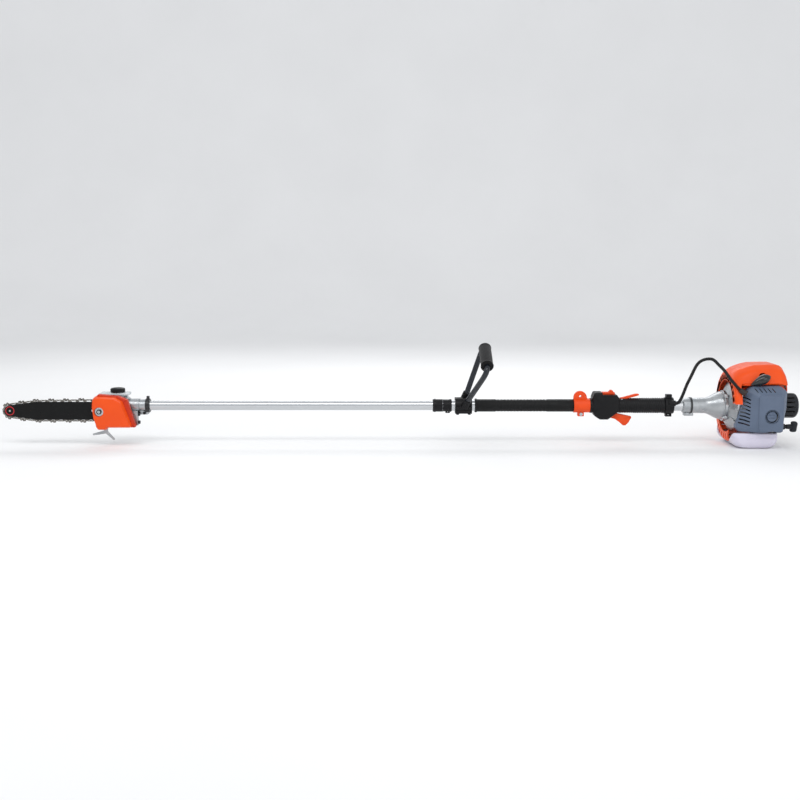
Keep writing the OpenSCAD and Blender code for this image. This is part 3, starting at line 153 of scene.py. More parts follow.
@dataclass(frozen=True)
class Finish:
    """A surface finish: colour with its drift, gloss with its drift, and fine relief."""

    name: str
    base: str
    tint: str
    rough: float
    spread: float = 0.08
    metal: float = 0.0
    mottle_mm: float = 40.0
    grain_mm: float = 1.5
    relief_mm: float = 0.02
    coat: float = 0.0
    specular: float = 0.5
    stretch: Triple = (1.0, 1.0, 1.0)

    def material(self) -> bpy.types.Material:
        """Makes the material once, and finds it again after that.

        Returns:
            The material, named for what the real one is.
        """
        known = bpy.data.materials.get(self.name)
        if known:
            return known
        made = bpy.data.materials.new(self.name)
        made.use_nodes = True
        made.diffuse_color = linear(self.base)
        tree = made.node_tree
        tree.nodes.clear()
        place = {"Vector": self.coordinates(tree), "Scale": self.stretch}
        where = add(tree, "Mapping", place).outputs[0]
        looks = {
            "Base Color": self.colour(tree, where),
            "Roughness": self.gloss(tree, where),
            "Normal": self.bump(tree, where),
            "Metallic": self.metal,
            "Coat Weight": self.coat,
            "Coat Roughness": 0.12,
        }
        shader = add(tree, "BsdfPrincipled", looks)
        if not self.metal:
            shader.inputs["Specular IOR Level"].default_value = self.specular
        self.tune(shader)
        add(tree, "OutputMaterial", {"Surface": shader.outputs[0]})
        return made

    def coordinates(self, tree: Tree) -> Socket:
        """The object's own coordinates, in metres."""
        return add(tree, "TexCoord").outputs["Object"]

    def noise(self, tree: Tree, where: Socket, size_mm: float, detail: float = 3.0) -> Socket:
        """Noise with grains of a real size.

        Args:
            tree: The material's node tree.
            where: Coordinates in metres.
            size_mm: The grain's size.
            detail: Octaves of finer noise.

        Returns:
            The noise's value, about 0.3 to 0.7.
        """
        inputs = {"Vector": where, "Scale": per_mm(size_mm), "Detail": detail}
        return add(tree, "TexNoise", inputs).outputs[0]

    def colour(self, tree: Tree, where: Socket) -> Socket:
        """Drifts slowly between the base colour and its tint.

        Args:
            tree: The material's node tree.
            where: Coordinates in metres.

        Returns:
            The colour.
        """
        spots = self.noise(tree, where, self.mottle_mm)
        drift = add(tree, "MapRange", {0: spots, 1: 0.32, 2: 0.68}).outputs[0]
        inputs = {0: drift, 6: linear(self.base), 7: linear(self.tint)}
        return add(tree, "Mix", inputs, data_type="RGBA").outputs[2]

    def gloss(self, tree: Tree, where: Socket) -> Socket:
        """Roughness that drifts as handling polishes or dulls the surface.

        Args:
            tree: The material's node tree.
            where: Coordinates in metres.

        Returns:
            The roughness.
        """
        wear = self.noise(tree, where, self.mottle_mm / 4, 5.0)
        low, high = max(0.02, self.rough - self.spread), min(1.0, self.rough + self.spread)
        return add(tree, "MapRange", {0: wear, 1: 0.3, 2: 0.7, 3: low, 4: high}).outputs[0]

    def relief(self, tree: Tree, where: Socket) -> Socket:
        """The height of the fine grain, from 0 to 1."""
        return self.noise(tree, where, self.grain_mm, 2.0)

    def bump(self, tree: Tree, where: Socket) -> Socket:
        """Turns the relief into shading normals at its real depth.

        Args:
            tree: The material's node tree.
            where: Coordinates in metres.

        Returns:
            The normal.
        """
        depth = self.relief_mm * MM
        inputs = {"Height": self.relief(tree, where), "Distance": depth, "Strength": 1.0}
        return add(tree, "Bump", inputs).outputs[0]

    def tune(self, shader: bpy.types.Node) -> None:
        """Sets what only this kind of finish has."""


@dataclass(frozen=True)
class CastMetal(Finish):
    """Die-cast light alloy: pitted skin that breaks the highlight into a soft sheen."""

    def relief(self, tree: Tree, where: Socket) -> Socket:
        """Fine noise with shallow pits from the die.

        Args:
            tree: The material's node tree.
            where: Coordinates in metres.

        Returns:
            The skin's height.
        """
        cells = {"Vector": where, "Scale": per_mm(self.grain_mm * 1.6)}
        pits = add(tree, "TexVoronoi", cells, feature="SMOOTH_F1").outputs[0]
        inputs = {0: pits, 1: 0.6, 2: self.noise(tree, where, self.grain_mm)}
        return add(tree, "Math", inputs, operation="MULTIPLY_ADD").outputs[0]


@dataclass(frozen=True)
class SparkPlastic(Finish):
    """Plastic from a spark-eroded mould: an even leathery grain that looks matt."""

    def relief(self, tree: Tree, where: Socket) -> Socket:
        """Rounded cells of the mould's texture."""
        inputs = {"Vector": where, "Scale": per_mm(self.grain_mm), "Smoothness": 0.6}
        return add(tree, "TexVoronoi", inputs, feature="SMOOTH_F1").outputs[0]


@dataclass(frozen=True)
class CellFoam(Finish):
    """Closed-cell foam: open pores where the skin is cut, with soft dark pinholes."""

    def relief(self, tree: Tree, where: Socket) -> Socket:
        """Pores as the sunken centres of a cell pattern."""
        cells = add(tree, "TexVoronoi", {"Vector": where, "Scale": per_mm(self.grain_mm)})
        return add(
            tree, "MapRange", {0: cells.outputs[0], 1: 0.08, 2: 0.5, 3: 0.0, 4: 1.0}
        ).outputs[0]

    def tune(self, shader: bpy.types.Node) -> None:
        """Soft sheen of fine foam."""
        shader.inputs["Sheen Weight"].default_value = 0.15
        shader.inputs["Sheen Roughness"].default_value = 0.5


@dataclass(frozen=True)
class MilkyPlastic(Finish):
    """Blow-moulded polyethylene: light goes in and comes out again, so edges glow."""

    depth_mm: float = 6.0

    def tune(self, shader: bpy.types.Node) -> None:
        """Scatters light under the skin."""
        shader.inputs["Subsurface Weight"].default_value = 0.45
        shader.inputs["Subsurface Radius"].default_value = (1.0, 0.92, 0.9)
        shader.inputs["Subsurface Scale"].default_value = self.depth_mm * MM
        shader.inputs["IOR"].default_value = 1.5


@dataclass(frozen=True)
class BraidedCord(Finish):
    """Braided polyamide cord: two sets of strands that cross along the piece's own UV."""

    strands: float = 8.0

    def coordinates(self, tree: Tree) -> Socket:
        """The UV map: u round the cord, v along it."""
        return add(tree, "TexCoord").outputs["UV"]

    def relief(self, tree: Tree, where: Socket) -> Socket:
        """The higher of two slanted waves, one for each way that the strands run.

        Args:
            tree: The material's node tree.
            where: The UV map's coordinates.

        Returns:
            The braid's height.
        """
        waves = []
        for side in (-1, 1):
            slant = add(tree, "Mapping", {"Vector": where, "Rotation": (0, 0, side * 0.7)})
            inputs = {"Vector": slant.outputs[0], "Scale": self.strands}
            waves.append(add(tree, "TexWave", inputs, bands_direction="X").outputs["Fac"])
        return add(tree, "Math", {0: waves[0], 1: waves[1]}, operation="MAXIMUM").outputs[0]


class Finishes:
    """Every finish on the saw, by what it is made of and how."""

    # Glossy injection-moulded ABS: slight orange peel from the polished mould
    ORANGE = Finish("Orange ABS, injection-moulded gloss", "#f0530f", "#e94c0b", 0.36, 0.05,
                    mottle_mm=60, grain_mm=5, relief_mm=0.015, specular=0.3)
    # A darker copy of the orange ABS: painted shade on the sprocket cover's flank and its bolt
    # recess, which are the same plastic as the face
    ORANGE_PAINTED_SHADE = Finish("Deep orange ABS, injection-moulded gloss", "#c8330c", "#bd2d08", 0.38,
                          0.05, mottle_mm=60, grain_mm=5, relief_mm=0.015, specular=0.3)
    ORANGE_SATIN = Finish("Orange polyamide, moulded satin", "#ea4c12", "#df450d", 0.42, 0.06,
                          mottle_mm=25, grain_mm=1.6, relief_mm=0.02, specular=0.3)
    SLATE = SparkPlastic("Slate grey polyamide, spark-textured", "#5f6c81", "#586579", 0.44, 0.07,
                         mottle_mm=50, grain_mm=1.8, relief_mm=0.025, specular=0.35)
    CHARCOAL = SparkPlastic("Charcoal polyamide, spark-textured", "#1c2026", "#171a1f", 0.46, 0.08,
                            mottle_mm=40, grain_mm=1.8, relief_mm=0.03, specular=0.3)
    BLACK = SparkPlastic("Black polyamide, spark-textured", "#060608", "#0a0a0d", 0.42, 0.1,
                         mottle_mm=40, grain_mm=1.8, relief_mm=0.03, specular=0.25)
    GLOSS_BLACK = Finish("Black phenolic, moulded gloss", "#0b0c0e", "#101215", 0.16, 0.05,
                         mottle_mm=30, grain_mm=4, relief_mm=0.02, coat=0.4)
    RUBBER = Finish("Black nitrile rubber, moulded matt", "#060708", "#0a0b0c", 0.5, 0.1,
                    mottle_mm=45, grain_mm=0.9, relief_mm=0.03, specular=0.25)
    FOAM = CellFoam("Black EVA foam, skived", "#0b0b0d", "#111113", 0.82, 0.08,
                    mottle_mm=14, grain_mm=1.4, relief_mm=0.18, specular=0.2)
    BROWN_RUBBER = Finish("Brown-black rubber, moulded boot", "#2a1d1a", "#1c1716", 0.5, 0.1,
                          mottle_mm=18, grain_mm=1.2, relief_mm=0.05)
    CONDUIT = Finish("Black polyamide conduit, extruded", "#070708", "#0b0b0c", 0.38, 0.08,
                     mottle_mm=30, grain_mm=2, relief_mm=0.02, specular=0.3)
    TANK = MilkyPlastic("Natural polyethylene, blow-moulded", "#dcd8e6", "#d2cddd", 0.34, 0.08,
                        mottle_mm=50, grain_mm=7, relief_mm=0.06)
    OIL_TANK = MilkyPlastic("Clear-white polyethylene, moulded", "#ccd2d5", "#c0c7ca", 0.3, 0.06,
                            mottle_mm=40, grain_mm=6, relief_mm=0.04)
    CAST = CastMetal("Die-cast aluminium, tumbled", "#b9bcbe", "#a5a9ac", 0.36, 0.1, metal=1.0,
                     mottle_mm=30, grain_mm=1.6, relief_mm=0.06)
    CAST_DULL = CastMetal("Sand-cast aluminium, blasted", "#9da1a3", "#8b9092", 0.5, 0.1,
                          metal=1.0, mottle_mm=25, grain_mm=2.2, relief_mm=0.12)
    TUBE = Finish("Aluminium tube, drawn and clear anodised", "#cfd1d3", "#bfc2c5", 0.24, 0.05,
                  metal=1.0, mottle_mm=30, grain_mm=0.6, relief_mm=0.006,
                  stretch=(0.015, 1.0, 1.0))
    STEEL = Finish("Steel, machined", "#8f9296", "#7c8085", 0.32, 0.1, metal=1.0, mottle_mm=20,
                   grain_mm=0.8, relief_mm=0.01)
    CHAIN_STEEL = Finish("Chrome-plated chain steel, oiled", "#8e8b86", "#57534e", 0.34, 0.14,
                         metal=1.0, mottle_mm=7, grain_mm=1.5, relief_mm=0.04)
    RIVET = Finish("Steel rivet, peened bright", "#c9c8c4", "#b3b1ac", 0.28, 0.1, metal=1.0,
                   mottle_mm=5, grain_mm=1, relief_mm=0.02)
    BAR = Finish("Black enamelled steel bar", "#050506", "#090a0b", 0.36, 0.1,
                 mottle_mm=35, grain_mm=3, relief_mm=0.02, specular=0.22)
    RED_INK = Finish("Red enamel, screen-printed", "#c9202a", "#b51822", 0.42, 0.06,
                     mottle_mm=8, grain_mm=1.5, relief_mm=0.01)
    LOOP_STEEL = Finish("Blue-black steel tube, baked enamel", "#10151d", "#161c26", 0.28, 0.08,
                        metal=0.2, mottle_mm=40, grain_mm=3, relief_mm=0.02, coat=0.15)
    ZINC = Finish("Steel screw, zinc-plated", "#c3c6c8", "#adb1b5", 0.26, 0.08, metal=1.0,
                  mottle_mm=6, grain_mm=1, relief_mm=0.01)
    BLACK_SCREW = Finish("Steel screw, black oxide", "#232426", "#2e2f31", 0.38, 0.1, metal=0.8,
                         mottle_mm=6, grain_mm=1, relief_mm=0.01)
    PAINTED_BLACK = Finish("Steel clamp, black enamel", "#161719", "#1e2022", 0.35, 0.08,
                           mottle_mm=15, grain_mm=2, relief_mm=0.02)
    NYLON = Finish("Natural nylon, turned", "#d9d4c6", "#cfc9b8", 0.45, 0.08, mottle_mm=20,
                   grain_mm=1.2, relief_mm=0.015)
    SOOT_STEEL = Finish("Sheet steel, heat-tinted", "#55504a", "#403d3c", 0.5, 0.12, metal=0.9,
                        mottle_mm=22, grain_mm=2, relief_mm=0.04)
    CERAMIC = Finish("White ceramic, glazed", "#f0eee8", "#e6e3da", 0.15, 0.04, mottle_mm=10,
                     grain_mm=3, relief_mm=0.01, coat=0.5)
    ROPE = BraidedCord("Grey-white polyamide, braided", "#cfcfc9", "#bdbdb6", 0.7, 0.08,
                       mottle_mm=400, grain_mm=400, relief_mm=0.25)
    # Near-black lining for the walls of vents, louvres and slots cut through the shells: painted
    # shade standing in for the dark inside, where no filter foam sits
    SLOT_SHADE = CellFoam("Near-black painted shade in slots, foam-textured", "#0c0d0e", "#121314", 0.9, 0.05,
                      mottle_mm=20, grain_mm=1.6, relief_mm=0.3)


# Which CAD nodes wear each finish
NODES_WEARING: dict[Finish, str] = {
    Finishes.BAR: "guide_bar",
    Finishes.CHAIN_STEEL: "saw_chain",
    Finishes.STEEL: (
        "nose_sprocket drive_sprocket bevel_gear bevel_pinion front_shaft rear_shaft "
        "clutch_drum crankshaft piston connecting_rod"
    ),
    Finishes.RIVET: "gear_bearings engine_bearings",
    Finishes.ORANGE: "sprocket_cover engine_cover",
    Finishes.ZINC: "bar_fasteners rear_screws",
    Finishes.CAST: "gear_case gear_case_lid limb_hook clutch_housing crankcase",
    Finishes.BLACK_SCREW: "head_screws",
    Finishes.OIL_TANK: "oil_tank",
    Finishes.BLACK: (
        "oil_cap collar_base lock_nut loop_clamp control_left control_right grip_clamp "
        "fuel_cap"
    ),
    Finishes.PAINTED_BLACK: "neck_clamp",
    Finishes.TUBE: "front_pole rear_pole",
    Finishes.RUBBER: "front_bushes pole_sleeve",
    Finishes.NYLON: "rear_bushes starter_reel",
    Finishes.LOOP_STEEL: "loop_bar",
    Finishes.FOAM: "loop_grip",
    Finishes.ORANGE_SATIN: "hanger throttle_trigger lockout_lever stop_switch",
    Finishes.CONDUIT: "cable_conduit",
    Finishes.SOOT_STEEL: "clutch_shoes muffler",
    Finishes.CAST_DULL: "flywheel cylinder_block carburettor",
    Finishes.SLATE: "air_cleaner_cover cover_knob",
    Finishes.CERAMIC: "spark_plug",
    Finishes.GLOSS_BLACK: "plug_cap",
    Finishes.TANK: "fuel_tank",
    Finishes.CHARCOAL: "recoil_housing starter_grip",
    Finishes.ROPE: "starter_rope",
}


# ---- Surfaces --------------------------------------------------------------------------------


def row_point(point: Triple) -> Triple:
    """A point in millimetres from the pole's axis, as metres in the row frame."""
    return (point[0] * MM, point[1] * MM, (point[2] + AXIS_Z) * MM)


def node_box(node: str) -> tuple[Array, Array]:
    """A CAD node's lowest and highest corners, in millimetres from the pole's axis."""
    low, high = (np.array(corner, dtype=float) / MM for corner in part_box(node))
    shift = np.array([0.0, 0.0, AXIS_Z])
    return low - shift, high - shift


def round_corners(corners: Array, radii: Array | float, steps: int = 9, flats: int = 0) -> Array:
    """Rounds every corner of a closed outline.

    Each corner P becomes a circular arc, written as a rational quadratic curve from
    P + t a to P + t b, where a and b point to its neighbours and t is the tangent length.
    Its middle weight is the cosine of half the turn.

    Args:
        corners: The outline's corners, (n, 2).
        radii: One radius for each corner, or one for all.
        steps: Points on each arc.
        flats: Points added on each straight stretch between arcs.

    Returns:
        The rounded outline, (n * (steps + flats), 2).
    """
    before = np.roll(corners, 1, axis=0) - corners
    after = np.roll(corners, -1, axis=0) - corners
    long_a = np.linalg.norm(before, axis=1)
    long_b = np.linalg.norm(after, axis=1)
    a = before / long_a[:, None]
    b = after / long_b[:, None]
    half = np.arccos(np.clip(np.sum(a * b, axis=1), -0.999, 0.9999)) / 2
    wanted = np.broadcast_to(radii, half.shape) / np.tan(half)
    reach = np.minimum(wanted, 0.49 * np.minimum(long_a, long_b))
    s = np.linspace(0, 1, steps)[None, :, None]
    weight = np.sin(half)[:, None, None]
    start = (corners + a * reach[:, None])[:, None, :]
    stop = (corners + b * reach[:, None])[:, None, :]
    curve = (1 - s) ** 2 * start + 2 * weight * s * (1 - s) * corners[:, None, :] + s**2 * stop
    curve = curve / ((1 - s) ** 2 + 2 * weight * s * (1 - s) + s**2)
    if flats:
        f = (np.arange(flats) + 1)[None, :, None] / (flats + 1)
        curve = np.concatenate([curve, stop * (1 - f) + np.roll(start, -1, axis=0) * f], axis=1)
    return curve.reshape(-1, 2)


def even_outline(outline: Array, count: int) -> Array:
    """Spreads points evenly by length round a closed outline.

    Args:
        outline: The outline's points, (n, 2).
        count: Points wanted.

    Returns:
        The same outline with count points, starting where it did.
    """
    closed = np.vstack([outline, outline[:1]])
    run = np.concatenate([[0], np.cumsum(np.linalg.norm(np.diff(closed, axis=0), axis=1))])
    at = np.linspace(0, run[-1], count, endpoint=False)
    return np.stack([np.interp(at, run, closed[:, i]) for i in range(2)], axis=1)


def outline_normals(outline: Array) -> Array:
    """Unit normals of a closed outline, square to the chord between each point's neighbours."""
    along = np.roll(outline, -1, axis=0) - np.roll(outline, 1, axis=0)
    side = np.stack([along[:, 1], -along[:, 0]], axis=1)
    x, z = outline.T
    area = np.sum(x * np.roll(z, -1) - np.roll(x, -1) * z)
    return np.sign(area) * side / np.linalg.norm(side, axis=1, keepdims=True)


def smooth_path(points: Array, count: int) -> Array:
    """A smooth curve through points, evenly spaced by length.

    Between two points it is the Catmull-Rom cubic, whose slope at a point is half the step
    between that point's neighbours.

    Args:
        points: Points to pass through, (n, 3).
        count: Points wanted.

    Returns:
        The curve's points, (count, 3).
    """
    ends = np.vstack([2 * points[0] - points[1], points, 2 * points[-1] - points[-2]])
    s = np.linspace(0, 1, 24, endpoint=False)[None, :, None]
    p0, p1, p2, p3 = (ends[i : len(ends) - 3 + i, None, :] for i in range(4))
    square, cube = 2 * p0 - 5 * p1 + 4 * p2 - p3, 3 * p1 - p0 - 3 * p2 + p3
    curve = 0.5 * (2 * p1 + (p2 - p0) * s + square * s**2 + cube * s**3)
    fine = np.vstack([curve.reshape(-1, 3), points[-1:]])
    run = np.concatenate([[0], np.cumsum(np.linalg.norm(np.diff(fine, axis=0), axis=1))])
    at = np.linspace(0, run[-1], count)
    return np.stack([np.interp(at, run, fine[:, i]) for i in range(3)], axis=1)


@dataclass
class Surface:
    """Points in millimetres from the pole's axis, with the quads and triangles between them."""

    points: Array
    quads: Array
    tris: Array
    uv: Array | None = None

    @staticmethod
    def loft(rings: Array, closed: bool = False, caps: bool = True) -> "Surface":
        """Skins a stack of closed rings.

        Point (i, j) joins (i + 1, j), (i + 1, j + 1) and (i, j + 1), and each open end is
        closed by triangles to the ring's mean point.

        Args:
            rings: The rings' points, (m, n, 3).
            closed: Whether the last ring joins the first.
            caps: Whether open ends are closed.

        Returns:
            The surface, facing outwards.
        """
        m, n, _ = rings.shape
        i = np.arange(m if closed else m - 1)[:, None]
        j = np.arange(n)[None, :]
        k = (j + 1) % n
        up = (i + 1) % m
        quads = np.stack([i * n + j, up * n + j, up * n + k, i * n + k], axis=2).reshape(-1, 4)
        points = rings.reshape(-1, 3)
        tris = np.zeros((0, 3), dtype=int)
        if not closed and caps:
            points = np.vstack([points, rings[0].mean(axis=0), rings[-1].mean(axis=0)])
            j, k = j[0], k[0]
            low = np.stack([np.full(n, m * n), j, k], axis=1)
            high = np.stack([np.full(n, m * n + 1), (m - 1) * n + k, (m - 1) * n + j], axis=1)
            tris = np.vstack([low, high])
        return Surface(points, quads, tris).outward()

    @staticmethod
    def lathe(
        profile: Array,
        centre: Triple,
        axis: int,
        count: int = 64,
        ring: bool = False,
    ) -> "Surface":
        """Turns a profile round a line parallel to an axis.

        At angle t, a profile point (a, r) goes to centre + a along the axis + r cos t and
        r sin t along the other two.

        Args:
            profile: Distance along the axis and radius, (m, 2).
            centre: A point on the line.
            axis: 0, 1 or 2 for X, Y or Z.
            count: Points round the turn.
            ring: Whether the profile is a closed loop, as a hollow ring's is.

        Returns:
            The closed surface of revolution.
        """
        t = np.arange(count) * TURN / count
        rings = np.zeros((len(profile), count, 3))
        rings[..., axis] = profile[:, 0, None]
        rings[..., (axis + 1) % 3] = profile[:, 1, None] * np.cos(t)
        rings[..., (axis + 2) % 3] = profile[:, 1, None] * np.sin(t)
        return Surface.loft(rings + np.array(centre), closed=ring)

    @staticmethod
    def on_pole(profile: Array, count: int = 64, ring: bool = False) -> "Surface":
        """Turns a profile of X and radius round the pole's own axis."""
        return Surface.lathe(profile, (0, 0, 0), 0, count, ring)

    @staticmethod
    def stack(levels: Array, outlines: Array, axis: int) -> "Surface":
        """Stacks closed outlines along an axis.

        Args:
            levels: Each outline's place on the axis, (m,).
            outlines: Their points in the other two axes, in XYZ order, (m, n, 2).
            axis: 0, 1 or 2.

        Returns:
            The closed solid through them.
        """
        rings = np.zeros(outlines.shape[:2] + (3,))
        others = [a for a in range(3) if a != axis]
        rings[..., axis] = levels[:, None]
        rings[..., others[0]], rings[..., others[1]] = outlines[..., 0], outlines[..., 1]
        return Surface.loft(rings)

    @staticmethod
    def block(low: Triple, high: Triple, edge: float = 0.5) -> "Surface":
        """A box between two corners with its edges rounded all round."""
        (x0, y0, z0), (x1, y1, z1) = low, high
        corners = np.array([[x0, z0], [x1, z0], [x1, z1], [x0, z1]], dtype=float)
        rim = min(edge, (y1 - y0) * 0.45)
        return Surface.slab(round_corners(corners, edge, 4), y0, y1, rim, 3)

    @staticmethod
    def tube(
        path: Array, radius: Array | float, count: int = 16, up: Triple = (0.0, 1.0, 0.01)
    ) -> "Surface":
        """Carries a circle along a path, square to it.

        At path point P the ring is P + r (u cos t + v sin t), where u is the path's direction
        crossed with a fixed one, and v is the direction crossed with u.

        Args:
            path: Points, (m, 3).
            radius: One radius, or one for each path point.
            count: Points round each ring.
            up: The fixed direction.

        Returns:
            The tube with its ends closed, and a UV map: u round it, v along it by turns.
        """
        step = np.gradient(path, axis=0)
        step /= np.linalg.norm(step, axis=1, keepdims=True)
        u = np.cross(step, np.array(up))
        u /= np.linalg.norm(u, axis=1, keepdims=True)
        v = np.cross(step, u)
        t = np.arange(count) * TURN / count
        r = np.broadcast_to(radius, len(path))[:, None, None]
        rings = path[:, None, :] + r * (
            u[:, None, :] * np.cos(t)[None, :, None] + v[:, None, :] * np.sin(t)[None, :, None]
        )
        made = Surface.loft(rings)
        run = np.concatenate([[0], np.cumsum(np.linalg.norm(np.diff(path, axis=0), axis=1))])
        around = np.tile(np.arange(count) / count, len(path))
        along = np.repeat(run / (TURN * float(np.mean(r))), count)
        made.uv = np.vstack([np.stack([around, along], axis=1), [[0.5, 0], [0.5, along[-1]]]])
        return made

    @staticmethod
    def slab(
        outline: Array,
        y0: float,
        y1: float,
        edge: float,
        steps: int = 5,
        edge1: float | None = None,
    ) -> "Surface":
        """Carries an X-Z outline along Y, with both rims rounded.

        Near a rim the outline shrinks along its normals by e (1 - sin s) while Y moves in by
        e (1 - cos s), a quarter circle of radius e.

        Args:
            outline: Points in X and Z, (n, 2).
            y0: One face.
            y1: The other face.
            edge: The radius of the rim at y0.
            steps: Rings on each rim.
            edge1: The radius of the rim at y1, where it differs.

        Returns:
            The closed solid.
        """
        s = np.linspace(0, math.pi / 2, steps)
        far = edge if edge1 is None else edge1
        y = np.concatenate([y0 + edge * (1 - np.cos(s)), y1 - far * (1 - np.cos(s[::-1]))])
        inset = np.concatenate([edge * (1 - np.sin(s)), far * (1 - np.sin(s[::-1]))])
        flat = outline[None] - outline_normals(outline)[None] * inset[:, None, None]
        return Surface.stack(y, flat, 1)

    def outward(self) -> "Surface":
        """Turns the faces round if the enclosed volume comes out negative."""
        halves = [self.quads[:, [0, 1, 2]], self.quads[:, [0, 2, 3]], self.tris]
        a, b, c = (self.points[column] for column in np.vstack(halves).T)
        if np.sum(a * np.cross(b, c)) < 0:
            self.quads, self.tris = self.quads[:, ::-1], self.tris[:, ::-1]
        return self

    def placed(self, matrix: Array, shift: Triple = (0, 0, 0)) -> "Surface":
        """The surface with its points turned by a 3x3 matrix, then moved."""
        turned = Surface(self.points @ matrix.T + np.array(shift), self.quads, self.tris, self.uv)
        return turned.outward()

    def repeated(self, matrices: Array, shifts: Array) -> "Surface":
        """Copies the surface to many places at once.

        Args:
            matrices: One 3x3 turn for each copy, (k, 3, 3).
            shifts: One move for each copy, (k, 3).

        Returns:
            One surface of all the copies.
        """
        count, size = len(shifts), len(self.points)
        points = np.einsum("kij,nj->kni", matrices, self.points) + shifts[:, None, :]
        jump = (np.arange(count) * size)[:, None, None]
        return Surface(
            points.reshape(-1, 3),
            (self.quads[None] + jump).reshape(-1, 4),
            (self.tris[None] + jump).reshape(-1, 3),
        )

    def copied(self, shifts: Array) -> "Surface":
        """Copies the surface to many places without turning it."""
        return self.repeated(np.repeat(np.eye(3)[None], len(shifts), axis=0), shifts)

    def around(self, degrees: Array) -> "Surface":
        """Copies the surface round the pole's axis, once for each angle."""
        return self.repeated(np.stack([turn(0, a) for a in degrees]), np.zeros((len(degrees), 3)))

    def piece(
        self, name: str, finish: Finish, body: Body | None, sharp: float = 35.0
    ) -> bpy.types.Object:
        """Makes the Blender object, dresses it and lets it ride.

        Args:
            name: The piece's name.
            finish: Its finish.
            body: The body it moves with, or None for a piece that rides on no body.
            sharp: Edges that turn more than this many degrees stay crisp.

        Returns:
            The object, at the origin, with its place in its mesh.
        """
        mesh = bpy.data.meshes.new(name)
        mesh.vertices.add(len(self.points))
        moved = (self.points + np.array([0.0, 0.0, AXIS_Z])) * MM
        mesh.vertices.foreach_set("co", moved.astype(np.float32).ravel())
        loops = np.concatenate([self.quads.ravel(), self.tris.ravel()]).astype(np.int32)
        totals = np.concatenate([np.full(len(self.quads), 4), np.full(len(self.tris), 3)])
        starts = np.concatenate([[0], np.cumsum(totals)[:-1]]).astype(np.int32)
        mesh.loops.add(len(loops))
        mesh.loops.foreach_set("vertex_index", loops)
        mesh.polygons.add(len(totals))
        mesh.polygons.foreach_set("loop_start", starts)
        mesh.polygons.foreach_set("loop_total", totals.astype(np.int32))
        mesh.update(calc_edges=True)
        mesh.validate()
        if self.uv is not None:
            layer = mesh.uv_layers.new(name="UVMap")
            layer.data.foreach_set("uv", self.uv[loops].astype(np.float32).ravel())
        obj = bpy.data.objects.new(name, mesh)
        bpy.context.scene.collection.objects.link(obj)
        mesh.materials.append(finish.material())
        smooth(obj, sharp)
        if body is not None:
            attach(obj, body.value)
        rides = body.value if body else "two bodies"
        log.info("%s: %d points, %s, on %s", name, len(self.points), finish.name, rides)
        return obj


def corners_at(
    stations: Array, corners: Array, radii: Array, where: Array, steps: int = 7, flats: int = 3
) -> Array:
    """Rounded outlines between given ones.

    Every corner and every radius runs straight from one station to the next.

    Args:
        stations: Where the given outlines stand, rising, (s,).
        corners: Their corners, in the same order in each, (s, k, 2).
        radii: The radius at each corner, (s, k).
        where: Where outlines are wanted, (m,).
        steps: Points on each arc.
        flats: Points on each straight stretch.

    Returns:
        The outlines, (m, k * (steps + flats), 2).
    """
    part = np.clip(np.searchsorted(stations, where, side="right") - 1, 0, len(stations) - 2)
    f = np.clip((where - stations[part]) / (stations[part + 1] - stations[part]), 0, 1)
    mid = corners[part] * (1 - f)[:, None, None] + corners[part + 1] * f[:, None, None]
    bend = radii[part] * (1 - f)[:, None] + radii[part + 1] * f[:, None]
    return np.stack([round_corners(c, r, steps, flats) for c, r in zip(mid, bend)])


def grown(outlines: Array, moves: Array | float) -> Array:
    """Outlines moved outwards along their normals, each by its own distance or all by one."""
    each = np.broadcast_to(moves, len(outlines))
    return np.stack([o + outline_normals(o) * d for o, d in zip(outlines, each)])


def between(first: Array, second: Array, share: Array) -> Array:
    """Mixes two arrays as first (1 - f) + second f, once for every share f."""
    f = share.reshape(-1, *[1] * first.ndim)
    return first * (1 - f) + second * f


def merged(*parts: Surface) -> Surface:
    """Puts surfaces together as one, each still its own closed shell."""
    jumps = np.cumsum([0] + [len(p.points) for p in parts[:-1]])
    return Surface(
        np.vstack([p.points for p in parts]),
        np.vstack([p.quads + j for p, j in zip(parts, jumps)]),
        np.vstack([p.tris + j for p, j in zip(parts, jumps)]),
    )


def smooth(obj: bpy.types.Object, sharp: float) -> None:
    """Smooths shading except over edges that turn more than this many degrees."""
    mesh = obj.data
    mesh.polygons.foreach_set("use_smooth", np.ones(len(mesh.polygons), dtype=bool))
    mesh.set_sharp_from_angle(angle=math.radians(sharp))


def carve(
    obj: bpy.types.Object,
    cutters: Surface,
    lining: Finish,
    sharp: float = 35.0,
    way: Way = Way.CUT,
) -> None:
    """Cuts shapes out of a piece, or joins them to it, and keeps their own finish there.

    Args:
        obj: The closed piece.
        cutters: Closed shells to take away or to join on.
        lining: The finish of the cut faces.
        sharp: Edges that turn more than this many degrees stay crisp.
        way: Whether they are cut out or joined on.
    """
    tool = cutters.piece(obj.name + "_cut", lining, Body.REAR)
    change = obj.modifiers.new("cut", "BOOLEAN")
    change.operation, change.solver, change.object = way.value, "MANIFOLD", tool
    change.material_mode = "TRANSFER"
    graph = bpy.context.evaluated_depsgraph_get()
    cut = bpy.data.meshes.new_from_object(obj.evaluated_get(graph))
    obj.modifiers.remove(change)
    old, spare = obj.data, tool.data
    obj.data = cut
    bpy.data.objects.remove(tool)
    bpy.data.meshes.remove(old)
    bpy.data.meshes.remove(spare)
    smooth(obj, sharp)


